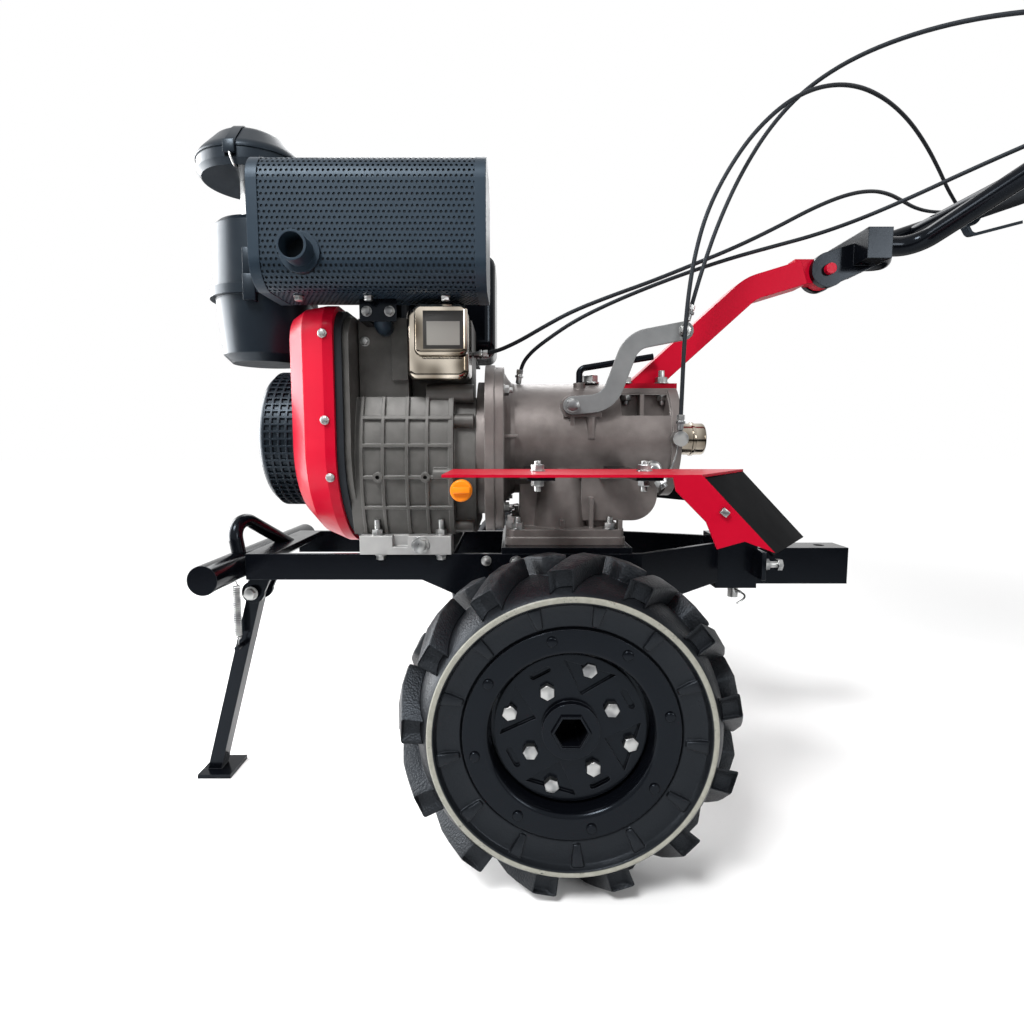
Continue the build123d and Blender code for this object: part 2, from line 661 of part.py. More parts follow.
with BuildPart() as cylinder_head:
    span_box(HEAD_FRONT, HEAD_REAR, -HEAD_HALF_W, HEAD_HALF_W, BLOCK_TOP, HEAD_TOP)
    span_box(HEAD_FRONT, ROCKER_FRONT - 4, -JACKET_OUT, -HEAD_HALF_W, BLOCK_TOP, HEAD_TOP - 4)
    span_box(ROCKER_FRONT - 27, ROCKER_FRONT - 4, -JACKET_OUT - 6, -JACKET_OUT, BLOCK_TOP + 24, HEAD_TOP - 4)
    fin_pitch = 14.0
    for i in range(5):
        fin_z = BLOCK_TOP + fin_pitch * (i + 0.5)
        span_box(HEAD_FRONT, ROCKER_FRONT - 4, HEAD_HALF_W, HEAD_HALF_W + 30, fin_z, fin_z + 4)
save(cylinder_head, "cylinder_head")

with BuildPart() as rocker_cover:
    for front, rear, bottom, inner, outer, corner, edge in (
        (ROCKER_FRONT, HEAD_REAR, ROCKER_BOTTOM, HEAD_HALF_W, ROCKER_LEDGE, 14, 9),
        (ROCKER_FRONT + 13, HEAD_REAR, ROCKER_BOTTOM + 30, ROCKER_LEDGE, ROCKER_OUT, 10, 7),
    ):
        with BuildSketch(Plane.XZ.offset(inner)):
            with Locations((sx((front + rear) / 2), (bottom + ROCKER_TOP) / 2)):
                RectangleRounded(rear - front, ROCKER_TOP - bottom, corner)
        extrude(amount=outer - inner)
        fillet(rocker_cover.faces().sort_by(Axis.Y)[0].edges(), edge)
save(rocker_cover, "rocker_cover")

shroud_rear = BLOCK_FRONT - SEAL_T
with BuildPart() as shroud_seal:
    extrude(shroud_section(shroud_rear, 6, 6), amount=SEAL_T)
save(shroud_seal, "shroud_seal")

with BuildPart() as blower_shroud:
    extrude(shroud_section(shroud_rear, 0, 0), amount=-SHROUD_RIM_T)
    loft([shroud_section(shroud_rear - depth, inset, top_inset) for depth, inset, top_inset in (
        (SHROUD_RIM_T, 0, 0), (46, 14, 2), (shroud_rear - SHROUD_FRONT, 42, 8),
    )], ruled=True)
save(blower_shroud, "blower_shroud")

with BuildPart() as recoil_starter:
    with BuildSketch(Plane.YZ.offset(sx(SHROUD_FRONT))):
        with Locations((0, CRANK_Z)):
            Circle(STARTER_R)
    extrude(amount=STARTER_FRONT - SHROUD_FRONT)
    fillet(recoil_starter.edges().sort_by(Axis.X)[0], 12)
save(recoil_starter, "recoil_starter")

with BuildPart() as oil_cap:
    with BuildSketch(Plane.XZ.offset(OIL_SEAT)):
        with Locations((sx(OIL_X), OIL_Z)):
            Circle(OIL_R - 4)
    extrude(amount=10)
    with BuildSketch(Plane.XZ.offset(OIL_SEAT + 10)):
        with Locations((sx(OIL_X), OIL_Z)):
            Circle(OIL_R)
    extrude(amount=14)
    fillet(oil_cap.edges().sort_by(Axis.Y)[0], 3)
save(oil_cap, "oil_cap")

# Exhaust: elbow from the head, bracket, hollow muffler with a tail stub
with BuildPart() as muffler:
    muffler_h = MUFFLER_TOP - MUFFLER_BOTTOM
    muffler_w = MUFFLER_OUT - MUFFLER_IN
    muffler_y = -(MUFFLER_OUT + MUFFLER_IN) / 2
    band_l = 14.0
    for front, rear, grow in (
        (MUFFLER_FRONT, MUFFLER_FRONT + band_l, 0),
        (MUFFLER_FRONT + band_l, MUFFLER_REAR - band_l, -BAND_RISE),
        (MUFFLER_REAR - band_l, MUFFLER_REAR, 0),
    ):
        with BuildSketch(Plane.YZ.offset(sx(front))):
            with Locations((muffler_y, (MUFFLER_TOP + MUFFLER_BOTTOM) / 2)):
                RectangleRounded(muffler_w + 2 * grow, muffler_h + 2 * grow, 36)
        extrude(amount=rear - front)
    span_box(
        MUFFLER_FRONT + MUFFLER_WALL, MUFFLER_REAR - MUFFLER_WALL,
        -MUFFLER_OUT + 18, -MUFFLER_IN - 18, MUFFLER_BOTTOM + 18, MUFFLER_TOP - 18, mode=Mode.SUBTRACT,
    )
    collar_in = MUFFLER_OUT - 17
    for radius, reach in ((COLLAR_R, COLLAR_H), (TAIL_R, TAIL_L)):
        with BuildSketch(Plane.XZ.offset(collar_in)):
            with Locations((sx(TAIL_X), TAIL_Z)):
                Circle(radius)
        extrude(amount=MUFFLER_OUT + reach - collar_in)
    with BuildSketch(Plane.XZ.offset(MUFFLER_OUT + TAIL_L)):
        with Locations((sx(TAIL_X), TAIL_Z)):
            Circle(TAIL_R - MUFFLER_WALL)
    extrude(amount=-TAIL_L, mode=Mode.SUBTRACT)
save(muffler, "muffler")

elbow_x = ROCKER_FRONT - 35
elbow_z = HEAD_TOP - 18
elbow_r = 12.0
exhaust_elbow = round_bar(
    [
        (sx(elbow_x), -JACKET_OUT - 6, elbow_z),
        (sx(elbow_x), -JACKET_OUT - 28, elbow_z),
        (sx(elbow_x), -JACKET_OUT - 28, MUFFLER_BOTTOM + BAND_RISE),
    ],
    elbow_r, 13,
)
save(exhaust_elbow, "exhaust_elbow")

with BuildPart() as muffler_bracket:
    plate_out = HEAD_HALF_W + 78
    plate_front = elbow_x - 27
    plate_low = HEAD_TOP - 16
    span_box(plate_front, elbow_x + 23, -plate_out, -plate_out + 5, plate_low, MUFFLER_BOTTOM + BAND_RISE)
    span_box(plate_front, elbow_x - elbow_r - 2, -plate_out, -JACKET_OUT, plate_low, plate_low + 4)
save(muffler_bracket, "muffler_bracket")

# Fuel tank on the right of the head, on a shelf bracket
with BuildPart() as tank_bracket:
    span_box(TANK_FRONT + 20, HEAD_REAR, HEAD_HALF_W, TANK_OUT - 10, TANK_BOTTOM - 5, TANK_BOTTOM)
save(tank_bracket, "tank_bracket")

with BuildPart() as fuel_tank:
    with BuildSketch(Plane.YZ.offset(sx(TANK_FRONT))):
        with Locations(((TANK_IN + TANK_OUT) / 2, (TANK_BOTTOM + TANK_TOP) / 2)):
            RectangleRounded(TANK_OUT - TANK_IN, TANK_TOP - TANK_BOTTOM, 28)
    extrude(amount=TANK_REAR - TANK_FRONT)
    fillet(fuel_tank.edges().filter_by(Plane.YZ), 18)
    span_box(TANK_FRONT + 30, TANK_REAR - 30, TANK_IN + 20, TANK_OUT - 20, TANK_BOTTOM + 14, TANK_TOP - 14,
             mode=Mode.SUBTRACT)
save(fuel_tank, "fuel_tank")

with BuildPart() as tank_cap:
    with BuildSketch(Plane.XY.offset(TANK_TOP)):
        with Locations((sx((TANK_FRONT + TANK_REAR) / 2), (TANK_IN + TANK_OUT) / 2)):
            Circle(32)
    extrude(amount=22)
    fillet(tank_cap.edges().sort_by(Axis.Z)[-1], 5)
save(tank_cap, "tank_cap")

# Air cleaner: oil cup, body, mushroom cap, pipe to the head
air_axis = Axis((sx(AIR_X), AIR_Y, 0), (0, 0, 1))
air_section = Plane(origin=(sx(AIR_X), AIR_Y, 0), x_dir=(1, 0, 0), z_dir=(0, -1, 0))
band_h = 14.0
INTAKE_R = 24.0
intake_x = HEAD_FRONT + 32
intake_z = AIR_BAND_Z + 50
AIR_PROFILES = (
    ("air_cleaner_cup", (
        (0, AIR_CUP_BOTTOM), (AIR_CUP_R - 20, AIR_CUP_BOTTOM), (AIR_CUP_R - 8, AIR_CUP_BOTTOM + 12),
        (AIR_CUP_R, AIR_BAND_Z - band_h), (AIR_CUP_R + 8, AIR_BAND_Z - band_h), (AIR_CUP_R + 8, AIR_BAND_Z),
        (0, AIR_BAND_Z),
    )),
    ("air_cleaner_body", (
        (0, AIR_BAND_Z), (AIR_CUP_R + 3, AIR_BAND_Z), (AIR_CUP_R, AIR_BODY_TOP - 8),
        (AIR_CUP_R - 8, AIR_BODY_TOP), (0, AIR_BODY_TOP),
    )),
)
for name, profile in AIR_PROFILES:
    with BuildPart() as air_piece:
        with BuildSketch(air_section):
            Polygon(*profile, align=None)
        revolve(axis=air_axis)
        if name == "air_cleaner_body":
            with BuildSketch(Plane.YZ.offset(sx(AIR_X))):
                with Locations((AIR_Y, intake_z)):
                    Circle(INTAKE_R + 4)
            extrude(amount=AIR_CUP_R + 6)
    save(air_piece, name)

with BuildPart() as air_cleaner_neck:
    with BuildSketch(Plane.XY.offset(AIR_BODY_TOP)):
        with Locations((sx(AIR_CAP_X), AIR_Y)):
            Circle(AIR_NECK_R)
    extrude(amount=AIR_CAP_BOTTOM - AIR_BODY_TOP)
save(air_cleaner_neck, "air_cleaner_neck")

cap_side = AIR_CAP_BOTTOM + 30
with BuildPart() as air_cleaner_cap:
    with BuildSketch(Plane(origin=(sx(AIR_CAP_X), AIR_Y, 0), x_dir=(1, 0, 0), z_dir=(0, -1, 0))) as cap_section:
        Polygon(
            (0, AIR_CAP_BOTTOM), (AIR_CAP_R - 6, AIR_CAP_BOTTOM), (AIR_CAP_R, AIR_CAP_BOTTOM + 8),
            (AIR_CAP_R, cap_side), (AIR_CAP_R - 34, AIR_CAP_TOP), (0, AIR_CAP_TOP), align=None,
        )
        fillet(cap_section.vertices().sort_by_distance((AIR_CAP_R, cap_side))[0], 22)
        fillet(cap_section.vertices().sort_by_distance((AIR_CAP_R - 34, AIR_CAP_TOP))[0], 26)
    revolve(axis=Axis((sx(AIR_CAP_X), AIR_Y, 0), (0, 0, 1)))
save(air_cleaner_cap, "air_cleaner_cap")

intake_pipe = round_bar(
    [
        (sx(AIR_X + AIR_CUP_R + 6), AIR_Y, intake_z),
        (sx(intake_x), AIR_Y, intake_z),
        (sx(intake_x), AIR_Y, HEAD_TOP),
    ],
    INTAKE_R, 44,
)
save(intake_pipe, "intake_pipe")

# Frame: two rails that close in on the hitch, cross plates, bumper tube and hoop
taper_x = FOOT_REAR + 20
with BuildPart() as frame_rails:
    plan = (
        (RAIL_FRONT, RAIL_OUT), (taper_x, RAIL_OUT), (RAIL_REAR, HITCH_HALF_W + RAIL_T),
        (RAIL_REAR, HITCH_HALF_W), (taper_x, RAIL_OUT - RAIL_T), (RAIL_FRONT, RAIL_OUT - RAIL_T),
    )
    with BuildSketch():
        for side in (-1, 1):
            Polygon(*[(sx(x), side * y) for x, y in plan], align=None)
    extrude(amount=RAIL_TOP + 40)
    elevation = (
        (RAIL_FRONT, RAIL_TOP), (taper_x, RAIL_TOP), (RAIL_REAR, HITCH_TOP - 8),
        (RAIL_REAR, HITCH_BOTTOM + 12), (FOOT_REAR + 60, RAIL_TOP - 74), (FOOT_FRONT - 40, RAIL_TOP - 74),
        (FOOT_FRONT - 120, RAIL_TOP - RAIL_H), (RAIL_FRONT, RAIL_TOP - RAIL_H),
    )
    with BuildSketch(Plane.XZ):
        Polygon(*[(sx(x), z) for x, z in elevation], align=None)
    extrude(amount=RAIL_OUT, both=True, mode=Mode.INTERSECT)
save(frame_rails, "frame_rails")

rail_in = RAIL_OUT - RAIL_T
with BuildPart() as engine_bed:
    for station in (BLOCK_FRONT + 35, BLOCK_REAR - 57):
        span_box(station - 24, station + 24, -rail_in, rail_in, RAIL_TOP - BED_T, RAIL_TOP)
    span_box(RAIL_FRONT, RAIL_FRONT + 40, -rail_in, rail_in, RAIL_TOP - BED_T, RAIL_TOP)
save(engine_bed, "engine_bed")

with BuildPart() as gearbox_saddle:
    span_box(FOOT_FRONT - 5, FOOT_REAR + 5, -RAIL_OUT, RAIL_OUT, RAIL_TOP, case_foot)
save(gearbox_saddle, "gearbox_saddle")

with BuildPart() as front_bumper:
    with BuildSketch(Plane.XZ):
        with Locations((sx(RAIL_FRONT) - BUMPER_R, RAIL_TOP - BUMPER_R)):
            Circle(BUMPER_R)
    extrude(amount=BUMPER_HALF, both=True)
save(front_bumper, "front_bumper")

bumper_x = RAIL_FRONT - BUMPER_R
bumper_z = RAIL_TOP - BUMPER_R
with BuildPart() as front_hoop:
    add(round_bar(
        [
            (sx(bumper_x + 4), 20 - RAIL_OUT, bumper_z + 8),
            (sx(bumper_x - 8), 20 - RAIL_OUT, HOOP_TOP),
            (sx(RAIL_FRONT + 18), 12, RAIL_TOP - 6),
        ],
        HOOP_R, 24,
    ).part)
    with BuildSketch(Plane.XZ):
        with Locations((sx(bumper_x), bumper_z)):
            Circle(BUMPER_R + SEAT_GAP)
    extrude(amount=BUMPER_HALF, both=True, mode=Mode.SUBTRACT)
    span_box(RAIL_FRONT, RAIL_FRONT + 60, -RAIL_OUT, RAIL_OUT, RAIL_TOP - 2 * BED_T, RAIL_TOP, mode=Mode.SUBTRACT)
save(front_hoop, "front_hoop")

# Front stand: leg on a pin between two ears, rest at the floor, folds rearwards
ear_in = STAND_LEG_W / 2 + 1
with BuildPart() as stand_bracket:
    ear_top = RAIL_TOP - BED_T
    plate_front = RAIL_FRONT + 4
    span_box(plate_front, plate_front + 36, STAND_Y - ear_in - EAR_T, STAND_Y + ear_in + EAR_T,
             ear_top - EAR_T, ear_top)
    for side in (-1, 1):
        with BuildSketch(Plane.XZ.offset(-(STAND_Y + side * ear_in))):
            with Locations((sx(STAND_X), STAND_Z)):
                Circle(EAR_R)
            Polygon(
                (sx(STAND_X - EAR_R), STAND_Z), (sx(plate_front), ear_top - 18), (sx(plate_front), ear_top),
                (sx(plate_front + 36), ear_top), (sx(STAND_X + EAR_R), STAND_Z), align=None,
            )
        extrude(amount=-side * EAR_T)
    with BuildSketch(Plane.XZ.offset(-STAND_Y)):
        with Locations((sx(STAND_X), STAND_Z)):
            Circle(STAND_PIN_R)
    extrude(amount=ear_in + EAR_T + 6, both=True)
save(stand_bracket, "stand_bracket")

stand_lean = atan2(STAND_X - STAND_FOOT_X, STAND_Z)
stand_len = sqrt((STAND_X - STAND_FOOT_X) ** 2 + STAND_Z**2)
leg_plane = Plane(
    origin=(sx(STAND_X), STAND_Y, STAND_Z),
    x_dir=(cos(stand_lean), 0, -sin(stand_lean)),
    z_dir=(-sin(stand_lean), 0, -cos(stand_lean)),
)
with BuildPart() as stand_leg:
    with BuildSketch(leg_plane):
        Rectangle(STAND_LEG_T, STAND_LEG_W)
    extrude(amount=stand_len)
    with BuildSketch(Plane.XZ.offset(-STAND_Y)):
        with Locations((sx(STAND_X), STAND_Z)):
            Circle(STAND_LEG_T / 2)
    extrude(amount=STAND_LEG_W / 2, both=True)
    split(bisect_by=Plane.XY, keep=Keep.TOP)
    span_box(STAND_FOOT_X - 16, STAND_FOOT_X + 34, STAND_Y - 30, STAND_Y + 30, 0, 6)
    peg_x = sx(STAND_X) - PEG_DROP * sin(stand_lean)
    peg_z = STAND_Z - PEG_DROP * cos(stand_lean)
    with BuildSketch(Plane.XZ.offset(-STAND_Y)):
        with Locations((peg_x, peg_z)):
            Circle(PEG_R)
    extrude(amount=SPRING_OUT + SPRING_R, both=True)
    with BuildSketch(Plane.XZ.offset(-STAND_Y)):
        with Locations((sx(STAND_X), STAND_Z)):
            Circle(STAND_PIN_R + RUN_FIT)
    extrude(amount=STAND_LEG_W, both=True, mode=Mode.SUBTRACT)
save(stand_leg, "stand_leg")

with BuildPart() as stand_springs:
    spring_low = peg_z + PEG_R + SEAT_GAP
    with BuildSketch(Plane.XY.offset(spring_low)):
        for side in (-1, 1):
            with Locations((peg_x, STAND_Y + side * SPRING_OUT)):
                Circle(SPRING_R)
    extrude(amount=RAIL_TOP - 2 * BUMPER_R - SEAT_GAP - spring_low)
save(stand_springs, "stand_springs")

# Hitch at the rear: box between the rails, its pin, and the drawbar tube with a free pin hole
with BuildPart() as hitch_box:
    span_box(HITCH_FRONT, HITCH_REAR, -HITCH_HALF_W, HITCH_HALF_W, HITCH_BOTTOM, HITCH_TOP)
    span_box(HITCH_FRONT + 14, HITCH_REAR, -DRAWBAR_HALF_W, DRAWBAR_HALF_W,
             DRAWBAR_Z - DRAWBAR_H / 2, DRAWBAR_Z + DRAWBAR_H / 2, mode=Mode.SUBTRACT)
    with Locations((sx((HITCH_FRONT + HITCH_REAR) / 2 + 8), 0, DRAWBAR_Z)):
        Cylinder(HITCH_PIN_R + SEAT_GAP, 2 * DRAWBAR_H, mode=Mode.SUBTRACT)
save(hitch_box, "hitch_box")

with BuildPart() as drawbar:
    half_h = DRAWBAR_H / 2
    span_box(HITCH_FRONT + 14, DRAWBAR_REAR, -DRAWBAR_HALF_W, DRAWBAR_HALF_W, DRAWBAR_Z - half_h, DRAWBAR_Z + half_h)
    span_box(HITCH_FRONT + 14, DRAWBAR_REAR, -DRAWBAR_HALF_W + DRAWBAR_WALL, DRAWBAR_HALF_W - DRAWBAR_WALL,
             DRAWBAR_Z - half_h + DRAWBAR_WALL, DRAWBAR_Z + half_h - DRAWBAR_WALL, mode=Mode.SUBTRACT)
    with Locations((sx((HITCH_FRONT + HITCH_REAR) / 2 + 8), 0, DRAWBAR_Z)):
        Cylinder(HITCH_PIN_R + SEAT_GAP, 2 * DRAWBAR_H, mode=Mode.SUBTRACT)
    with Locations((sx(DRAWBAR_REAR - 35), 0, DRAWBAR_Z)):
        Cylinder(DRAWBAR_PIN_R, 2 * DRAWBAR_H, mode=Mode.SUBTRACT)
save(drawbar, "drawbar")

with BuildPart() as hitch_pin:
    pin_low = HITCH_BOTTOM - 22
    pin_x = sx((HITCH_FRONT + HITCH_REAR) / 2 + 8)
    with BuildSketch(Plane.XY.offset(pin_low)):
        with Locations((pin_x, 0)):
            Circle(HITCH_PIN_R)
    extrude(amount=HITCH_TOP - pin_low)
    with BuildSketch(Plane.XY.offset(HITCH_TOP)):
        with Locations((pin_x, 0)):
            Circle(HITCH_PIN_R + 6)
    extrude(amount=8)
save(hitch_pin, "hitch_pin")

# Handle column: plate on the gearbox, bent rectangular tube, tongue at the tilt pivot
with BuildPart() as handle_column:
    with BuildLine() as column_path:
        FilletPolyline(
            (sx(COLUMN_FRONT + 15), 0, COLUMN_BASE - 20),
            (sx(TILT_X - 118), 0, TILT_Z - 28),
            (sx(TILT_X - TONGUE_R - 14), 0, TILT_Z - 4),
            radius=60,
        )
    with BuildSketch(Plane(column_path.line @ 0, x_dir=(0, 1, 0), z_dir=column_path.line % 0)):
        Rectangle(COLUMN_W, COLUMN_H)
    sweep(path=column_path.line)
    split(bisect_by=Plane.XY.offset(COLUMN_BASE), keep=Keep.TOP)
    span_box(COLUMN_FRONT, CASE_REAR + 2, -44, 44, COLUMN_BASE, COLUMN_BASE + 8)
    with BuildSketch(Plane.XZ):
        with Locations((sx(TILT_X), TILT_Z)):
            Circle(TONGUE_R)
        with Locations((sx(TILT_X - TONGUE_R), TILT_Z)):
            Rectangle(2 * TONGUE_R, COLUMN_H)
    extrude(amount=TONGUE_W / 2, both=True)
    with BuildSketch(Plane.XZ):
        with Locations((sx(TILT_X), TILT_Z)):
            Circle(TILT_PIN_R)
    extrude(amount=TONGUE_W / 2 + YOKE_T + 8, both=True)
save(handle_column, "handle_column")

# Handlebar: forked yoke on the tilt pin, two arms, crossbar, grips, levers
fork_in = TONGUE_W / 2 + 0.5
bar_z = TILT_Z + 28
with BuildPart() as handle_yoke:
    for side in (-1, 1):
        with BuildSketch(Plane.XZ.offset(-side * fork_in)):
            with Locations((sx(TILT_X), TILT_Z)):
                Circle(TONGUE_R + 2)
            Polygon(
                (sx(TILT_X), TILT_Z - TONGUE_R - 2), (sx(YOKE_REAR), bar_z - 22),
                (sx(YOKE_REAR), bar_z + 22), (sx(TILT_X - 6), TILT_Z + TONGUE_R + 1), align=None,
            )
        extrude(amount=-side * YOKE_T)
    span_box(YOKE_REAR - 36, YOKE_REAR, -BAR_START_Y - 20, BAR_START_Y + 20, bar_z - 22, bar_z + 22)
    with BuildSketch(Plane.XZ):
        with Locations((sx(TILT_X), TILT_Z)):
            Circle(TILT_PIN_R + RUN_FIT)
    extrude(amount=TONGUE_W + YOKE_T, both=True, mode=Mode.SUBTRACT)
save(handle_yoke, "handle_yoke")

sides = (("left", -1), ("right", 1))
for side_name, side in sides:
    arm = round_bar(
        [
            (sx(YOKE_REAR), side * BAR_START_Y, bar_z),
            (sx(YOKE_REAR + 45), side * BAR_START_Y, bar_z),
            (sx(BEND_X), side * BEND_Y, BEND_Z),
            (sx(GRIP_X), side * GRIP_Y, GRIP_Z),
        ],
        BAR_R, 45,
    )
    save(arm, f"handlebar_{side_name}")

grip_frames = []
for side_name, side in sides:
    run = Vector(grip_run.X, side * grip_run.Y, grip_run.Z)
    end = Vector(sx(GRIP_X), side * GRIP_Y, GRIP_Z)
    grip_frames.append((run, end, end - run * (GRIP_L + 34)))

with BuildPart() as grips:
    for run, end, clamp_at in grip_frames:
        with BuildSketch(Plane(end - run * GRIP_L, z_dir=run)):
            Circle(GRIP_R)
            Circle(BAR_R + SEAT_GAP, mode=Mode.SUBTRACT)
        extrude(amount=GRIP_L)
save(grips, "grips")

with BuildPart() as levers:
    for run, end, clamp_at in grip_frames:
        with BuildSketch(Plane(clamp_at, z_dir=run)):
            Circle(CLAMP_R)
            Circle(BAR_R + SEAT_GAP, mode=Mode.SUBTRACT)
        extrude(amount=CLAMP_L)
        start = clamp_at + run * (CLAMP_L / 2) + Vector(0, 0, 1 - CLAMP_R)
        with BuildLine() as lever_path:
            FilletPolyline(
                start, start + Vector(0, 0, -20) + run * 12,
                start + Vector(0, 0, -28) + run * (GRIP_L + 4), radius=12,
            )
        with BuildSketch(Plane(lever_path.line @ 0, x_dir=(0, 1, 0), z_dir=lever_path.line % 0)):
            Rectangle(16, 6)
        sweep(path=lever_path.line)
save(levers, "levers")

cross_share = 0.2
cross_y = BEND_Y + (GRIP_Y - BEND_Y) * cross_share - BAR_R - 1.7
with BuildPart() as handlebar_crossbar:
    with BuildSketch(Plane.XZ):
        with Locations((sx(BEND_X + (GRIP_X - BEND_X) * cross_share), BEND_Z + (GRIP_Z - BEND_Z) * cross_share)):
            Circle(CROSS_R)
    extrude(amount=cross_y, both=True)
save(handlebar_crossbar, "handlebar_crossbar")

# Fenders: flat sheet with a skewed rear fold, a skirt, and the dark flap behind it, on two arms
flap_points = (
    (FENDER_FOLD, FENDER_OUT, FENDER_Z),
    (FENDER_FOLD + FOLD_SKEW, FENDER_IN, FENDER_Z),
    (FENDER_FOLD + FOLD_SKEW + FLAP_RUN, FENDER_IN, FENDER_Z - FLAP_DROP),
    (FENDER_FOLD + FLAP_RUN, FENDER_OUT, FENDER_Z - FLAP_DROP),
)
for side_name, side in (("left", -1), ("right", 1)):
    with BuildPart() as fender:
        with BuildSketch(Plane.XY.offset(FENDER_Z)):
            Polygon(
                (sx(FENDER_FRONT), side * FENDER_OUT), (sx(FENDER_FOLD), side * FENDER_OUT),
                (sx(FENDER_FOLD + FOLD_SKEW), side * FENDER_IN), (sx(FENDER_FRONT), side * FENDER_IN),
                align=None,
            )
        extrude(amount=FENDER_T)
        with BuildSketch(Plane.XZ.offset(-side * FENDER_OUT)):
            Polygon(
                *[(sx(FENDER_FOLD + x), FENDER_Z + z) for x, z in (
                    (-30, FENDER_T), (0, FENDER_T), (FLAP_RUN, FENDER_T - FLAP_DROP),
                    (46, -66), (18, -74), (6, -46), (-26, -14),
                )],
                align=None,
            )
        extrude(amount=side * FENDER_T)
    save(fender, f"fender_{side_name}")

with BuildPart() as fender_flaps:
    for side in (-1, 1):
        corners = [Vector(sx(x), side * (y - (FENDER_T if y == FENDER_OUT else 0)), z) for x, y, z in flap_points]
        along = (corners[1] - corners[0]).normalized()
        face_normal = along.cross(corners[3] - corners[0]).normalized()
        if face_normal.Z > 0:
            face_normal = face_normal * -1
        flap_plane = Plane(origin=corners[0], x_dir=along, z_dir=face_normal)
        with BuildSketch(flap_plane):
            Polygon(*[(p.X, p.Y) for p in map(flap_plane.to_local_coords, corners)], align=None)
        extrude(amount=FENDER_T)
save(fender_flaps, "fender_flaps")

with BuildPart() as fender_arms:
    for station in ARM_STATIONS:
        for side in (-1, 1):
            span_box(station - ARM_W / 2, station + ARM_W / 2, side * (CASE_R - 4), side * (FENDER_OUT - 40),
                     FENDER_Z - ARM_T, FENDER_Z)
save(fender_arms, "fender_arms")

# Control cables from the machine up to the levers; each row is station, Y, height
CABLE_ROUTES = (
    ("cable_clutch", (
        (184, -93, 681.5), (190, -94, 705), (203, -93, 752), (224, -90, 815), (256, -82, 885), (300, -70, 955),
        (352, -66, 1010), (420, -80, 1047), (500, -118, 1058), (580, -165, 1046), (655, -206, 1020),
        (720, -234, 990), (766, -249, 974), (799.5, -253.7, 966),
    )),
    ("cable_reverse", (
        (176, -102, 526.4), (176.5, -104, 575), (177, -106, 640), (180, -106, 705), (189, -102, 768),
        (206, -97, 830), (234, -95, 886), (267, -99, 934), (312, -97, 975), (365, -80, 1004), (432, -42, 1026),
        (505, 10, 1036), (578, 66, 1033), (648, 124, 1019), (712, 180, 999), (762, 226, 982), (799.5, 253.7, 967),
    )),
    ("cable_throttle", (
        (-124.6, -30, 643), (-96, -33, 645), (-58, -39, 660), (-18, -46, 682), (24, -50, 704), (80, -48, 726),
        (142, -40, 749), (205, -33, 775), (268, -27, 801), (332, -20, 832), (395, -12, 866), (455, 8, 893),
        (512, 42, 912), (566, 86, 924), (618, 134, 931), (668, 178, 935), (718, 212, 940), (764, 231, 946),
        (807, 234.6, 948),
    )),
    ("cable_gear", (
        (-55, 0, 601.6), (-52, -3, 628), (-36, -8, 650), (-6, -14, 672), (33, -20, 697), (86, -24, 722),
        (145, -24, 746), (207, -22, 769), (270, -18, 790), (334, -14, 808), (398, -13, 825), (458, -24, 844),
        (512, -54, 863), (562, -96, 882), (610, -142, 898), (658, -184, 912), (708, -214, 925),
        (758, -231, 938), (807, -234.6, 948),
    )),
)
for name, route in CABLE_ROUTES:
    points = [(sx(x), y, z) for x, y, z in route]
    radii = route_radii(points)
    cable = round_bar(points, CABLE_R, radii)
    print(name, "bend radii", [round(r) for r in radii])
    save(cable, name)
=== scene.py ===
# %% [markdown]
# # A power weeder, dressed for its portrait
# The machine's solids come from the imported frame. This lesson gives every solid its finish, puts the
# rubber, springs, bolts, cables and perforated sheet on them, and sets up a plain studio.

# %% Load the frame
import json
from math import cos, pi, radians, sin, sqrt

import bmesh
import bpy
from mathutils import Matrix, Vector


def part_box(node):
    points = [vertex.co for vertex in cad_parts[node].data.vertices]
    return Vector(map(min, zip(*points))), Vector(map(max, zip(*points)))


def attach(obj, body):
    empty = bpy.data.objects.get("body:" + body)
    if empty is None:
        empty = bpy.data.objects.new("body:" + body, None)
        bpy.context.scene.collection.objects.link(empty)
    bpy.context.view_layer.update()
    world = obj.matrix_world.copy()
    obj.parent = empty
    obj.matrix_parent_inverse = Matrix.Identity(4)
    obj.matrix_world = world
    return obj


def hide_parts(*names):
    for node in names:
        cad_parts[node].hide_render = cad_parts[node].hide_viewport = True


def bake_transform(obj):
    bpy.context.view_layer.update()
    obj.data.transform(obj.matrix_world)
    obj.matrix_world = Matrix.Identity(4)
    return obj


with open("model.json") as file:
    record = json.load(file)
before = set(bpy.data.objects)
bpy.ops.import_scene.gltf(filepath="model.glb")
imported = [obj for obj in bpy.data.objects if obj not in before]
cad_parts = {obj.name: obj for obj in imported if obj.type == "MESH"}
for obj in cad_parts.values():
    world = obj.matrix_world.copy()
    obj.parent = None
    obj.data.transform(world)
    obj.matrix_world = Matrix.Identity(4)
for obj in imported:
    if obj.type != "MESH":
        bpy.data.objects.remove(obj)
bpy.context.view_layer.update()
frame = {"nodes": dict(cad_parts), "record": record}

# %% [markdown]
# ## Where things are
# All places are in metres, in the machine's own frame. Along the machine they are easiest to read from
# the wheel axle, negative ahead of it, so one helper turns such a station into a point. The axle itself
# is read from the left rim's box.

# %% Stations from the axle
rim_low, rim_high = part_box("rim_left")
axle = (rim_low + rim_high) / 2
WHEEL_Y = -axle.y
SIDES = (("left", -1), ("right", 1))     # the way each side faces along Y
OUT = Vector((0, -1, 0))                 # the machine's left, towards the camera
REAR = Vector((1, 0, 0))
UP = Vector((0, 0, 1))
DOWN = -UP


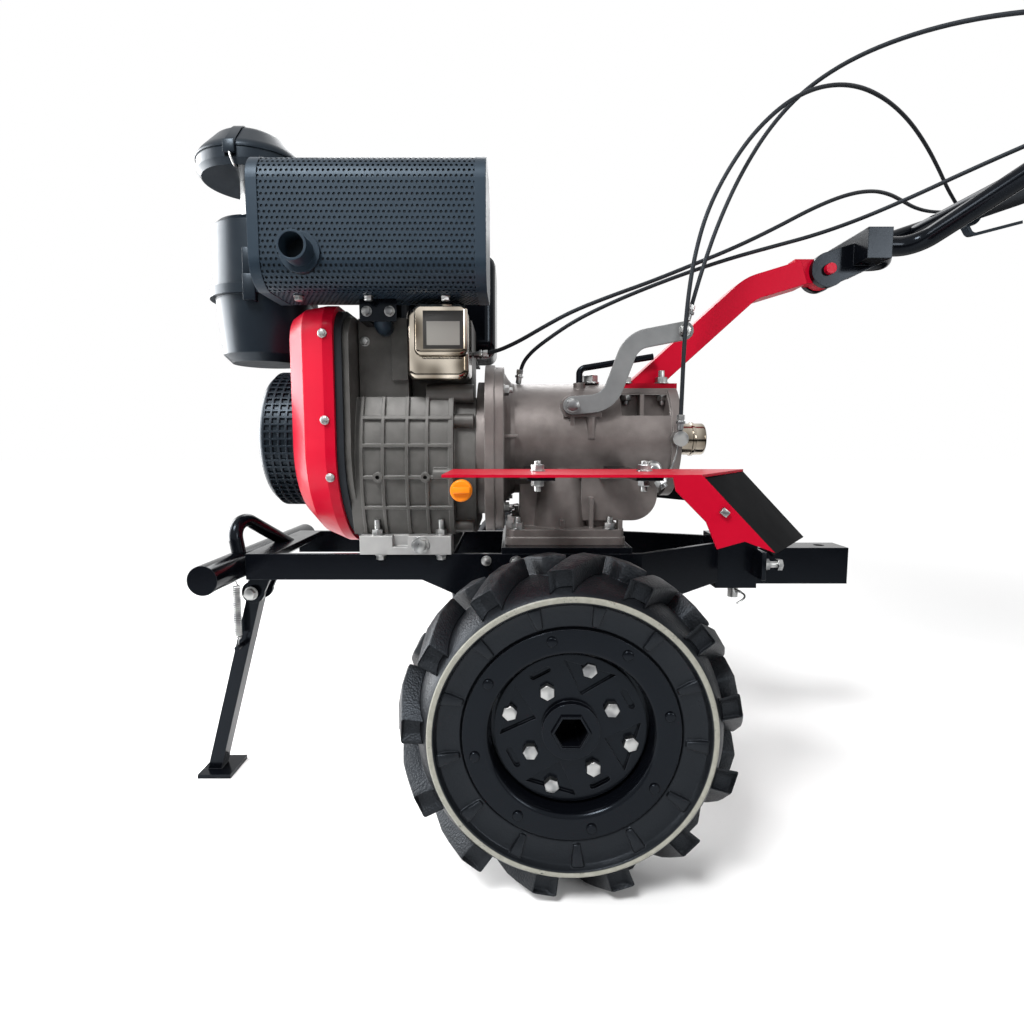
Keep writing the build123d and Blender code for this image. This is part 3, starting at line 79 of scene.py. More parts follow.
def place(station, y, z):
    """Point at a station from the axle, a Y and a height."""
    return Vector((axle.x + station, y, z))


def round_axle(radius, angle, y):
    """Point at a distance and an angle round the axle."""
    return Vector((axle.x + radius * cos(angle), y, axle.z + radius * sin(angle)))


def aim(at, direction, roll=0.0):
    """Matrix that takes a shape made along +Z to a point and turns it along a direction."""
    turn = Vector(direction).to_track_quat("Z", "Y").to_matrix().to_4x4()
    return Matrix.Translation(at) @ turn @ Matrix.Rotation(roll, 4, "Z")


print("axle", axle[:])

# %% [markdown]
# ## Shader sums as Python sums
# A finish is a node tree. Writing each Math node by hand hides the idea, so a small class wraps an
# output socket and overloads the operators: `1 - mask` then adds the node by itself. Every other node
# comes from one method that takes its type, its settings and what goes into its sockets.


# %% Wire
class Wire:
    """A node's output that can be used in sums; each operator adds one Math node."""

    def __init__(self, nodes, socket):
        self.nodes = nodes
        self.socket = socket

    def sum(self, operation, first, second):
        return self.nodes.node("Math", {"operation": operation}, {0: first, 1: second})

    def __add__(self, other):
        return self.sum("ADD", self, other)

    def __sub__(self, other):
        return self.sum("SUBTRACT", self, other)

    def __rsub__(self, other):
        return self.sum("SUBTRACT", other, self)

    def __mul__(self, other):
        return self.sum("MULTIPLY", self, other)

    def __pow__(self, other):
        return self.sum("POWER", self, other)

    __radd__ = __add__
    __rmul__ = __mul__

    def ramp(self, low, high):
        """0 below low, 1 above high, smooth between."""
        limits = {"Value": self, "From Min": low, "From Max": high}
        return self.nodes.node("MapRange", {"interpolation_type": "SMOOTHSTEP"}, limits)

    def twin(self, name):
        """Another output of the same node."""
        return Wire(self.nodes, self.socket.node.outputs[name])


print("sums ready")


# %% Nodes
class Nodes:
    """A node tree, and one method that adds any node to it."""

    def __init__(self, tree):
        self.tree = tree

    def node(self, kind, settings=None, sockets=None, out=None):
        """Add a node, set it up, feed its sockets, and give back one output."""
        made = self.tree.nodes.new("ShaderNode" + kind)
        for key, value in (settings or {}).items():
            setattr(made, key, value)
        for key, value in (sockets or {}).items():
            if isinstance(key, int):
                socket = made.inputs[key]
            else:
                socket = next(s for s in made.inputs if s.enabled and s.name == key)
            if isinstance(value, Wire):
                self.tree.links.new(value.socket, socket)
            else:
                socket.default_value = value
        results = [o for o in made.outputs if o.enabled and (out is None or o.name == out)]
        return Wire(self, results[0])


print("nodes ready")

# %% [markdown]
# ## What all finishes share
# Nearly every finish here is clouded by noise, softened at its edges and roughened by a bump. These
# could be copied from material to material, but as methods they read as one word each.


# %% Finish
class Finish(Nodes):
    """One material with its shader's constants, and the patterns that the finishes share."""

    def __init__(self, name, constants):
        self.material = bpy.data.materials.new(name)
        self.material.use_nodes = True
        super().__init__(self.material.node_tree)
        self.shader = self.tree.nodes["Principled BSDF"]
        for socket, value in constants.items():
            self.shader.inputs[socket].default_value = value
        self.point = self.node("TexCoord", out="Object")

    def feed(self, socket, wire):
        self.tree.links.new(wire.socket, self.shader.inputs[socket])

    def noise(self, scale, detail=3.0):
        return self.node("TexNoise", {}, {"Vector": self.point, "Scale": scale, "Detail": detail})

    def mix(self, factor, first, second):
        """Blend of two colours, each a wire or three numbers."""
        a, b = ((*colour, 1) if isinstance(colour, tuple) else colour for colour in (first, second))
        return self.node("Mix", {"data_type": "RGBA"}, {"Factor": factor, "A": a, "B": b}, out="Result")

    def soft_edge(self, radius):
        """Normal that rounds the edges a little, as paint and casting do."""
        return self.node("Bevel", {"samples": 4}, {"Radius": radius})

    def edge_mask(self, soft):
        """0 on flats, rising where the rounded normal leaves the true one."""
        flat = self.node("NewGeometry", out="Normal")
        dot = self.node("VectorMath", {"operation": "DOT_PRODUCT"}, {0: soft, 1: flat}, out="Value")
        return 1 - dot

    def bump(self, height, strength, distance, normal):
        sockets = {"Height": height, "Strength": strength, "Distance": distance, "Normal": normal}
        self.feed("Normal", self.node("Bump", {}, sockets))

    def coords(self, centre):
        """The three parts of Object coordinates measured from a centre."""
        back = tuple(-c for c in centre)
        moved = self.node("Mapping", {}, {"Vector": self.point, "Location": back})
        x = self.node("SeparateXYZ", {}, {"Vector": moved}, out="X")
        return x, x.twin("Y"), x.twin("Z")


print("shader helpers ready")

# %% [markdown]
# ## Paint
# The machine wears two enamels: a bright red on sheet metal and column, and a blue-black on the frame
# and wheels. Both are glossy with a faint orange peel and a little dust in the roughness. Their edges
# take a second colour: on the red a darker one where the coat is thin, on the blue-black a pale one that
# is partly wear and partly painted highlight along the edges. The fenders' rear flaps are a near-black
# with almost no shine. The edges could be painted by hand; here a rounded normal finds them, so any
# solid can take the finish. A thin clear coat lies over the red.

# %% Enamels
ENAMEL_TINT = (0.74, 0.86, 1.0, 1)       # cool highlights
ENAMEL_EDGE = 0.0014
COAT_ROUGH = 0.06
PEEL_STRENGTH = 0.05
PEEL_DEEP = 0.0006


def enamel(name, colour, worn_edge_and_highlight, rough, shine, coat=0.0):
    f = Finish(name, {"Coat Weight": coat, "Coat Roughness": COAT_ROUGH, "Specular IOR Level": shine,
                      "Specular Tint": ENAMEL_TINT})
    soft = f.soft_edge(ENAMEL_EDGE)
    # Edge colour: on the red a darker thin coat; on the blue-black pale wear and painted highlight.
    edge_band = (f.edge_mask(soft) * 2.2 + f.noise(60) * 0.5 - 0.55).ramp(0.0, 0.5)
    dark, bright = (tuple(c * share for c in colour) for share in (0.86, 1.12))
    f.feed("Base Color", f.mix(edge_band * 0.5, f.mix(f.noise(7), dark, bright), worn_edge_and_highlight))
    f.feed("Roughness", f.noise(26) * 0.16 + rough)
    f.bump(f.noise(260, 2), PEEL_STRENGTH, PEEL_DEEP, soft)
    return f.material


red_enamel = enamel("red_enamel", (0.41, 0.0026, 0.018), worn_edge_and_highlight=(0.20, 0.003, 0.010),
                    rough=0.26, shine=0.07, coat=0.05)
# Painted highlight: the blue-black's pale edge colour stands partly for light caught along edges, such as
# round the hub's pockets.
black_enamel = enamel("black_enamel", (0.0020, 0.0024, 0.0036), worn_edge_and_highlight=(0.085, 0.090, 0.100),
                      rough=0.09, shine=0.15)
# The rear flaps are coloured near-black, with almost no shine.
flap_black = enamel("flap_black", (0.0020, 0.0022, 0.0028), worn_edge_and_highlight=(0.020, 0.021, 0.024),
                     rough=0.30, shine=0.004)
print(red_enamel.name, black_enamel.name, flap_black.name)

# %% [markdown]
# ## Heat-proof paint
# Muffler and guard are sprayed in a dull blue-black that stands heat. Under the guard the can is painted
# near-black, a painted shade of the perforated guard over it. A second material could split the can's
# faces, but its mesh is left alone, so the same paint is darkened between the two end bands by Object
# coordinates.

# %% Heat-proof paint of the muffler
MUFFLER_FRONT = -0.392
MUFFLER_REAR = -0.097
MUFFLER_NEAR = -0.200    # its near face
BAND_LENGTH = 0.014
SHADE_FADE = 0.001
HEAT_TINT = (0.66, 0.83, 1.0, 1)
sheet_front = MUFFLER_FRONT + BAND_LENGTH
sheet_rear = MUFFLER_REAR - BAND_LENGTH


def heat_paint(name, edge, shade_under_guard=False):
    f = Finish(name, {"Specular IOR Level": 0.3, "Specular Tint": HEAT_TINT})
    paint = f.mix(f.noise(11), (0.0065, 0.012, 0.0185), (0.012, 0.020, 0.030))
    if shade_under_guard:
        x, y, _ = f.coords(place(0, 0, 0))
        # Painted shade: the can is darkened to near-black where the guard lies over it.
        guard_shade = x.ramp(sheet_front, sheet_front + SHADE_FADE)
        guard_shade = guard_shade * (1 - x.ramp(sheet_rear - SHADE_FADE, sheet_rear))
        guard_shade = guard_shade * y.ramp(MUFFLER_NEAR - SHADE_FADE, MUFFLER_NEAR)
        paint = f.mix(guard_shade, paint, (0.0022, 0.0024, 0.003))
    f.feed("Base Color", paint)
    f.feed("Roughness", f.noise(40) * 0.2 + 0.34)
    f.bump(f.noise(900, 2), 0.12, 0.0004, f.soft_edge(edge))
    return f.material


muffler_paint = heat_paint("heat_paint", 0.0012)
guard_paint = heat_paint("guard_paint", 0.0003)
shaded_under_guard_paint = heat_paint("heat_paint_shaded_under_guard", 0.0012, shade_under_guard=True)
print(muffler_paint.name, guard_paint.name, shaded_under_guard_paint.name)

# %% [markdown]
# ## Castings and plated steel
# The crankcase is sand-cast aluminium, cool grey and dull; the gearbox is die-cast, a little warmer and
# smoother. Both have a skin of fine grain, clouded in tone, with bright rubbed edges. Zinc is a bluish
# bright metal with cloudy plating. Chrome is a mirror whose colour swings in broad clouds between dark
# brown and pale gold, a painted reflection of its surroundings. Grain this fine would cost millions of
# faces, so it is noise in a bump.

# %% Castings
CAST_EDGE = 0.0022
BARE_METAL = (0.42, 0.42, 0.41)


def casting(name, low, high, grain, metal, rough):
    f = Finish(name, {"Metallic": metal, "Specular IOR Level": 0.5})
    soft = f.soft_edge(CAST_EDGE)
    edge_band = (f.edge_mask(soft) * 1.6).ramp(0.05, 0.6)
    stain = f.noise(9, 5) * 0.65 + f.noise(48) * 0.35
    skin = f.mix(stain.ramp(0.25, 0.75), low, high)
    f.feed("Base Color", f.mix(edge_band * 0.4, skin, BARE_METAL))
    f.feed("Roughness", f.noise(85) * 0.18 + rough)
    height = f.noise(grain, 3) * 0.7 + f.noise(grain * 0.22, 2) * 0.5
    f.bump(height, 0.22, 0.0008, soft)
    return f.material


engine_cast = casting("engine_cast", (0.040, 0.0385, 0.036), (0.098, 0.095, 0.090),
                      grain=520, metal=0.4, rough=0.4)
gearbox_cast = casting("gearbox_cast", (0.084, 0.072, 0.068), (0.178, 0.158, 0.151),
                       grain=640, metal=0.5, rough=0.34)
foot_cast = casting("foot_cast", (0.25, 0.25, 0.25), (0.38, 0.38, 0.375),
                    grain=700, metal=0.5, rough=0.36)
arm_cast = casting("arm_cast", (0.12, 0.127, 0.13), (0.19, 0.198, 0.20),
                   grain=900, metal=0.4, rough=0.36)
print(engine_cast.name, gearbox_cast.name, foot_cast.name, arm_cast.name)

# %% Zinc and chrome
PLATED_EDGE = 0.0008


def plated(name, low, high, rough, spread, grain, cloud_and_reflection):
    f = Finish(name, {"Metallic": 1.0})
    f.feed("Base Color", f.mix(f.noise(cloud_and_reflection, 1).ramp(0.3, 0.62), low, high))
    f.feed("Roughness", f.noise(120) * spread + rough)
    f.bump(f.noise(grain, 2), 0.08, 0.0003, f.soft_edge(PLATED_EDGE))
    return f.material


zinc = plated("zinc", (0.17, 0.175, 0.18), (0.40, 0.405, 0.40),
              rough=0.22, spread=0.2, grain=1200, cloud_and_reflection=70)
# Painted reflection: the chrome's colour swings in broad clouds between dark brown and pale gold.
chrome = plated("chrome", (0.10, 0.082, 0.060), (0.70, 0.63, 0.53),
                rough=0.07, spread=0.08, grain=120, cloud_and_reflection=19)
print(zinc.name, chrome.name)

# %% [markdown]
# ## Plastics and rubber
# Starter and air cleaner are moulded in satin black plastic, the oil cap in orange. Hoses, grips, the
# shroud's seal and the cables' jackets are soft black rubber with a dry, dusty sheen. They differ only
# in colour, gloss and grain, so one function makes all three.

# %% Plastics and rubber
MOULDED_TINT = (0.72, 0.86, 1.0, 1)
MOULDED_EDGE = 0.0012


def moulded(name, low, high, rough, grain, strength):
    f = Finish(name, {"Specular IOR Level": 0.26, "Specular Tint": MOULDED_TINT})
    f.feed("Base Color", f.mix(f.noise(14), low, high))
    f.feed("Roughness", f.noise(55) * 0.16 + rough)
    f.bump(f.noise(grain, 2), strength, 0.0004, f.soft_edge(MOULDED_EDGE))
    return f.material


black_plastic = moulded("black_plastic", (0.0034, 0.0056, 0.0086), (0.0062, 0.0095, 0.0140),
                        rough=0.26, grain=1100, strength=0.08)
orange_plastic = moulded("orange_plastic", (0.86, 0.20, 0.004), (0.95, 0.27, 0.008),
                         rough=0.28, grain=800, strength=0.05)
soft_rubber = moulded("soft_rubber", (0.0062, 0.0066, 0.0078), (0.012, 0.0125, 0.014),
                      rough=0.48, grain=700, strength=0.18)
print(black_plastic.name, orange_plastic.name, soft_rubber.name)

# %% [markdown]
# ## Tyre rubber
# A tyre isn't one black. The lugs' tips are scuffed to a dusty grey, the walls are blacker, the flanks
# between the lugs carry a fine knurl, and a pale line, broken up by noise, runs round the wall's outer
# ridge. All of these follow the distance from the axle, so the finish works that out from Object
# coordinates, which turn with the wheel.

# %% Tyre finish
RING_IN = 0.1508         # the pale line, by distance from the axle
RING_OUT = 0.1572
RING_SIDE = (0.0472, 0.0492)             # and by distance from the wheel's middle plane
LUG_TIP = 0.194
LUG_FALL = 0.0095        # the lugs' tips fall towards the shoulder
CROWN = 0.1730
TYRE_TINT = (0.78, 0.88, 1.0, 1)
TYRE_EDGE = 0.002
KNURL_SCALE = 430.0


def tyre_finish(name, centre):
    f = Finish(name, {"Specular IOR Level": 0.22, "Specular Tint": TYRE_TINT})
    x, y, z = f.coords(centre)
    radius = (x * x + z * z) ** 0.5
    across = (y * y) ** 0.5
    ring_breakup = (f.noise(60, 5) * 0.8 + f.noise(420) * 0.45).ramp(0.30, 0.52)
    ring = radius.ramp(RING_IN - 0.0006, RING_IN + 0.0006) * (1 - radius.ramp(RING_OUT - 0.0007, RING_OUT))
    ring = ring * across.ramp(*RING_SIDE) * ring_breakup
    scuff = radius.ramp(CROWN + 0.004, LUG_TIP) * f.noise(90, 5).ramp(0.3, 0.75)
    dust = f.noise(16, 5).ramp(0.35, 0.8) * radius.ramp(RING_OUT, RING_OUT + 0.01)
    wall = f.mix(f.noise(20), (0.0022, 0.0026, 0.0034), (0.0042, 0.0048, 0.0060))
    dusty = f.mix(dust * 0.35, wall, (0.020, 0.0205, 0.022))
    scuffed = f.mix(scuff * 0.4, dusty, (0.046, 0.0465, 0.048))
    pale = f.mix(f.noise(150, 4), (0.19, 0.187, 0.155), (0.34, 0.335, 0.29))
    f.feed("Base Color", f.mix(ring, scuffed, pale))
    dull = radius.ramp(RING_IN - 0.01, RING_OUT + 0.012) * 0.12
    f.feed("Roughness", f.noise(45) * 0.2 + dull + 0.22)
    knurl = f.node("TexVoronoi", {"feature": "F1"}, {"Vector": f.point, "Scale": KNURL_SCALE}, out="Distance")
    flank = radius.ramp(RING_OUT, RING_OUT + 0.008)
    f.bump(knurl * flank + f.noise(260, 3) * 0.6, 0.35, 0.0012, f.soft_edge(TYRE_EDGE))
    return f.material


tyre_rubber = {name: tyre_finish(f"tyre_{name}_rubber", (axle.x, side * WHEEL_Y, axle.z))
               for name, side in SIDES}
print([rubber.name for rubber in tyre_rubber.values()])

# %% [markdown]
# ## Dressing the solids
# The record names a slot for each node. A table turns slots into finishes, and the few nodes that share
# a slot but look different are named after it. Only materials are set: the solids' meshes stay as packed.

# %% Solids get their finish
SLOT_FINISH = {
    "red_paint": red_enamel, "black_paint": black_enamel, "muffler_black": muffler_paint,
    "engine_casting": engine_cast, "gearbox_casting": gearbox_cast, "foot_alloy": foot_cast,
    "zinc_steel": zinc, "chrome_cover": chrome, "tyre_rubber": soft_rubber,
    "black_rubber": soft_rubber, "black_plastic": black_plastic, "orange_plastic": orange_plastic,
}
NODE_FINISH = {
    "clutch_arm": arm_cast, "axle_left": black_enamel, "axle_right": black_enamel,
    "muffler": shaded_under_guard_paint, "fender_flaps": flap_black,
}
for part in frame["record"]["subparts"]:
    node = frame["nodes"][part["node"]]
    finish = NODE_FINISH.get(part["node"], SLOT_FINISH[part["material_slot"]])
    if not node.material_slots:
        node.data.materials.append(finish)
    for material_slot in node.material_slots:
        material_slot.material = finish

# %% [markdown]
# ## Camera
# The photo was taken from the machine's left with a wide lens, from about the height of the crankshaft
# and tipped down by about six degrees. A lens could be guessed and nudged; this one was fitted to the
# wheel's ellipses and the rails, so the picture can be laid over the photo.

# %% Camera
CAMERA_STATION = -0.065
CAMERA_BACK = 0.98
CAMERA_HEIGHT = 0.513
CAMERA_PITCH = radians(5.79)
FOCAL_SHARE = 608.5 / 1024    # focal length as a share of the picture's width
SENSOR = 36.0
CENTRE_RISE = -10 / 1024      # the lens centre lies above the picture's middle

camera_data = bpy.data.cameras.new("camera")
camera_data.sensor_width = SENSOR
camera_data.lens = FOCAL_SHARE * SENSOR
camera_data.shift_y = CENTRE_RISE
camera_data.clip_start = 0.01
camera = bpy.data.objects.new("camera", camera_data)
camera.location = place(CAMERA_STATION, -CAMERA_BACK, CAMERA_HEIGHT)
camera.rotation_euler = (pi / 2 - CAMERA_PITCH, 0, 0)
bpy.context.collection.objects.link(camera)
bpy.context.scene.camera = camera
print("lens", camera_data.lens)

# %% [markdown]
# ## Studio
# A plain pale floor that fades to white, a soft lamp over the camera's left shoulder, a weaker one on
# the right, one on the left that draws bright edges on tyre and air cleaner, and one behind. The world
# is white to the eye and to reflections, and lights the object only softly.

# %% Floor
FLOOR_HALF = 14
FLOOR_MID = (-0.15, 0, 0)
FLOOR_FADE = (0.9, 2.6)       # distances between which the grey floor turns white
bpy.context.scene.view_settings.view_transform = "Standard"
shape = bmesh.new()
bmesh.ops.create_grid(shape, x_segments=1, y_segments=1, size=FLOOR_HALF)
floor_mesh = bpy.data.meshes.new("floor")
shape.to_mesh(floor_mesh)
shape.free()
floor = bpy.data.objects.new("floor", floor_mesh)
bpy.context.collection.objects.link(floor)
floor_pale = Finish("floor_pale", {"Roughness": 0.9, "Specular IOR Level": 0.1, "Emission Strength": 1.0})
floor_x, floor_y, _ = floor_pale.coords(FLOOR_MID)
away = ((floor_x * floor_x + floor_y * floor_y) ** 0.5).ramp(*FLOOR_FADE)
floor_pale.feed("Base Color", floor_pale.mix(away, (0.87, 0.87, 0.87), (0.0, 0.0, 0.0)))
eye = floor_pale.node("LightPath", out="Is Camera Ray")
floor_pale.feed("Emission Color", floor_pale.mix(away * eye, (0, 0, 0), (1, 1, 1)))
floor_mesh.materials.append(floor_pale.material)
print("floor", 2 * FLOOR_HALF, "m")

# %% Lamps
LAMPS = (
    # name, place, aimed at, size, watts
    ("key", (-1.1, -1.6, 2.4), (-0.25, 0, 0.5), 0.8, 84),
    ("fill", (1.6, -2.1, 1.2), (-0.1, 0, 0.4), 0.7, 18),
    ("side", (-2.2, 0.25, 0.75), (-0.4, -0.2, 0.4), 1.7, 110),
    ("back", (-0.4, 2.2, 2.4), (-0.2, 0, 0.6), 1.8, 46),
)
for name, spot, target, size, watts in LAMPS:
    lamp = bpy.data.lights.new(name, "AREA")
    lamp.size = size
    lamp.energy = watts
    lamp_object = bpy.data.objects.new(name, lamp)
    lamp_object.matrix_world = aim(Vector(spot), Vector(spot) - Vector(target))
    bpy.context.collection.objects.link(lamp_object)
print("lamps", len(LAMPS))

# %% World
SKY_LIGHT = 0.34              # strength on the object; the eye and reflections meet 1
world = bpy.data.worlds.new("studio")
world.use_nodes = True
bpy.context.scene.world = world
sky = Nodes(world.node_tree)
eye = sky.node("LightPath", out="Is Camera Ray")
mirrored = eye.sum("MAXIMUM", eye.twin("Is Glossy Ray"), eye.twin("Is Transmission Ray"))
seen = eye.sum("MAXIMUM", eye, mirrored)
strength = sky.node("MapRange", {}, {"Value": seen, "To Min": SKY_LIGHT, "To Max": 1.0})
backdrop = world.node_tree.nodes["Background"]
backdrop.inputs["Color"].default_value = (1, 1, 1, 1)
world.node_tree.links.new(strength.socket, backdrop.inputs["Strength"])
print("studio lit")

# %% [markdown]
# ## Making a piece
# Each new piece is a bmesh that an operator starts and others shape. When it is done, one helper makes
# it an object at the origin, shades it smooth up to a given edge angle, gives it its finish, and lets it
# ride on a body.

# %% Piece helpers
MERGE = 1e-5                  # points closer than this become one


def piece(name, shape, finish, body, sharp=38, replaces=()):
    """Object at the origin from a bmesh, with its finish and body."""
    mesh = bpy.data.meshes.new(name)
    shape.to_mesh(mesh)
    shape.free()
    mesh.polygons.foreach_set("use_smooth", [True] * len(mesh.polygons))
    mesh.set_sharp_from_angle(angle=radians(sharp))
    mesh.materials.append(finish)
    made = bpy.data.objects.new(name, mesh)
    bpy.context.collection.objects.link(made)
    if body:
        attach(made, body)
    if replaces:
        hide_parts(*replaces)
    mesh.calc_loop_triangles()
    print(name, len(mesh.loop_triangles), "triangles")
    return made


def join(target, extra):
    """Add one bmesh's faces to another."""
    scratch = bpy.data.meshes.new("scratch")
    extra.to_mesh(scratch)
    extra.free()
    target.from_mesh(scratch)
    bpy.data.meshes.remove(scratch)


def everything(shape):
    return shape.verts[:] + shape.edges[:] + shape.faces[:]


def block(middle, size):
    """Matrix that takes a unit cube to a middle and a size."""
    return Matrix.Translation(middle) @ Matrix.Diagonal((*size, 1))


def round_edges(shape, edges, offset, segments=2):
    bmesh.ops.bevel(shape, geom=edges, affect="EDGES", offset=offset, segments=segments, profile=0.5,
                    material=-1)


print("piece helpers ready")

# %% [markdown]
# ## Control cables
# Four cables run from the engine and gearbox to the levers. Their routes are the same points as in the
# solids, now the control points of a smooth NURBS curve, so the jacket bends evenly. They cross the
# handlebar's tilt.

# %% Cable routes
CABLE_RADIUS = 0.003
CABLE_ROUTES = {
    # rows of station, Y, height
    "cable_clutch": (
        (0.184, -0.093, 0.6815), (0.190, -0.094, 0.705), (0.203, -0.093, 0.752), (0.224, -0.090, 0.815),
        (0.256, -0.082, 0.885), (0.300, -0.070, 0.955), (0.352, -0.066, 1.010), (0.420, -0.080, 1.047),
        (0.500, -0.118, 1.058), (0.580, -0.165, 1.046), (0.655, -0.206, 1.020), (0.720, -0.234, 0.990),
        (0.766, -0.249, 0.974), (0.7995, -0.2537, 0.966),
    ),
    "cable_reverse": (
        (0.176, -0.102, 0.5264), (0.1765, -0.104, 0.575), (0.177, -0.106, 0.640), (0.180, -0.106, 0.705),
        (0.189, -0.102, 0.768), (0.206, -0.097, 0.830), (0.234, -0.095, 0.886), (0.267, -0.099, 0.934),
        (0.312, -0.097, 0.975), (0.365, -0.080, 1.004), (0.432, -0.042, 1.026), (0.505, 0.010, 1.036),
        (0.578, 0.066, 1.033), (0.648, 0.124, 1.019), (0.712, 0.180, 0.999), (0.762, 0.226, 0.982),
        (0.7995, 0.2537, 0.967),
    ),
    "cable_throttle": (
        (-0.1246, -0.030, 0.643), (-0.096, -0.033, 0.645), (-0.058, -0.039, 0.660), (-0.018, -0.046, 0.682),
        (0.024, -0.050, 0.704), (0.080, -0.048, 0.726), (0.142, -0.040, 0.749), (0.205, -0.033, 0.775),
        (0.268, -0.027, 0.801), (0.332, -0.020, 0.832), (0.395, -0.012, 0.866), (0.455, 0.008, 0.893),
        (0.512, 0.042, 0.912), (0.566, 0.086, 0.924), (0.618, 0.134, 0.931), (0.668, 0.178, 0.935),
        (0.718, 0.212, 0.940), (0.764, 0.231, 0.946), (0.807, 0.2346, 0.948),
    ),
    "cable_gear": (
        (-0.055, 0.0, 0.6016), (-0.052, -0.003, 0.628), (-0.036, -0.008, 0.650), (-0.006, -0.014, 0.672),
        (0.033, -0.020, 0.697), (0.086, -0.024, 0.722), (0.145, -0.024, 0.746), (0.207, -0.022, 0.769),
        (0.270, -0.018, 0.790), (0.334, -0.014, 0.808), (0.398, -0.013, 0.825), (0.458, -0.024, 0.844),
        (0.512, -0.054, 0.863), (0.562, -0.096, 0.882), (0.610, -0.142, 0.898), (0.658, -0.184, 0.912),
        (0.708, -0.214, 0.925), (0.758, -0.231, 0.938), (0.807, -0.2346, 0.948),
    ),
}
print("cables", len(CABLE_ROUTES))

# %% Cable jackets
CURVE_STEPS = 6               # along each stretch between two control points


def nurbs_tube(name, points, radius, fineness):
    """Mesh tube along a NURBS spline with the given control points."""
    curve = bpy.data.curves.new(name + "_line", "CURVE")
    curve.dimensions = "3D"
    curve.bevel_depth = radius
    curve.bevel_resolution = fineness
    curve.resolution_u = CURVE_STEPS
    curve.use_fill_caps = True
    spline = curve.splines.new("NURBS")
    spline.points.add(len(points) - 1)
    for control, point in zip(spline.points, points):
        control.co = (*point, 1)
    spline.order_u = 3
    spline.use_endpoint_u = True
    line = bpy.data.objects.new(name + "_line", curve)
    bpy.context.collection.objects.link(line)
    bpy.context.view_layer.update()
    mesh = bpy.data.meshes.new_from_object(line.evaluated_get(bpy.context.evaluated_depsgraph_get()))
    bpy.data.objects.remove(line)
    shape = bmesh.new()
    shape.from_mesh(mesh)
    bpy.data.meshes.remove(mesh)
    bmesh.ops.remove_doubles(shape, verts=shape.verts, dist=MERGE)
    bmesh.ops.recalc_face_normals(shape, faces=shape.faces)
    return shape


for name, route in CABLE_ROUTES.items():
    jacket = nurbs_tube(name, [place(*row) for row in route], CABLE_RADIUS, fineness=3)
    tube = piece(name + "_jacket", jacket, soft_rubber, None, replaces=(name,))
    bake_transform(tube)

# %% [markdown]
# ## Tyres
# The tyre is the machine's face: a squat carcass, a pale line round the wall, short ribs in the hollow
# of the wall, and chevron lugs whose ends come over the shoulder as arches. The carcass is a profile
# spun round the axle. One lug is shaped flat, as if the tread were unrolled, with its end scooped out,
# then wrapped round the wheel thirteen times for each half of the tread.

# %% Carcass
CARCASS_STEPS = 156
WALL_PROFILE = (
    # distance from the axle, distance from the wheel's middle plane
    (0.1020, 0.0364), (0.1196, 0.0364), (0.1222, 0.0388), (0.1270, 0.0392), (0.1390, 0.0404),
    (0.1462, 0.0436), (0.1484, 0.0474), (0.1494, 0.0500), (0.1508, 0.0508), (0.1556, 0.0508),
    (0.1572, 0.0494), (0.1606, 0.0452), (0.1655, 0.0360), (0.1697, 0.0245), (0.1724, 0.0100),
)


def spun(profile, steps):
    """Closed ring: a loop of (radius, Y) points spun round the Y axis."""
    shape = bmesh.new()
    verts = [shape.verts.new((r, y, 0)) for r, y in profile]
    for first, second in zip(verts, verts[1:] + verts[:1]):
        shape.edges.new((first, second))
    bmesh.ops.spin(shape, geom=shape.verts[:] + shape.edges[:], cent=(0, 0, 0), axis=(0, 1, 0),
                   angle=2 * pi, steps=steps, use_merge=True)
    bmesh.ops.recalc_face_normals(shape, faces=shape.faces)
    return shape


print("carcass profile", 2 * len(WALL_PROFILE), "points")

# %% One lug
LUG_WIDTH = 0.0255
LUG_PAST_MID = 0.008
LUG_END = 0.0475
LUG_ROOT = 0.150
LUG_EDGE = 0.0022
LUG_CUTS = (0.0, 0.012, 0.024, 0.034)    # lets the lug bend round the wheel
SCOOP_RIM = 0.0062
SCOOP_DEEP = 0.009


def one_lug():
    """A lug on the unrolled tread: X round the wheel, Y across it, Z outwards."""
    shape = bmesh.new()
    height = LUG_TIP - LUG_ROOT
    middle = (0, (LUG_END - LUG_PAST_MID) / 2, (LUG_TIP + LUG_ROOT) / 2)
    size = (LUG_WIDTH, LUG_END + LUG_PAST_MID, height)
    bmesh.ops.create_cube(shape, size=1, matrix=block(middle, size))
    end = max(shape.faces, key=lambda f: f.calc_center_median().y)
    bmesh.ops.inset_region(shape, faces=[end], thickness=SCOOP_RIM, depth=-SCOOP_DEEP)
    rims = [e for e in shape.edges if min(v.co.z for v in e.verts) > LUG_ROOT + 0.004 or
            abs(e.verts[0].co.z - e.verts[1].co.z) > height * 0.8]
    round_edges(shape, rims, LUG_EDGE)
    for cut in LUG_CUTS:
        bmesh.ops.bisect_plane(shape, geom=everything(shape), plane_co=(0, cut, 0), plane_no=(0, 1, 0))
    return shape


print("lug height", LUG_TIP - CROWN)

# %% Wrapping a lug
LUG_SWEEP = 0.042
LUG_FLARE = 0.10         # wider at the foot
LUG_TUCK = 0.0035        # the tip's outer end leans in
TUCK_FADE = 2.2
WRAP_RADIUS = 0.178      # radius at which the unrolled tread keeps its length


def over_ring(out):
    """0 up to the pale line, 1 at the lugs' tips."""
    return max(0.0, (out - RING_OUT) / (LUG_TIP - RING_OUT))


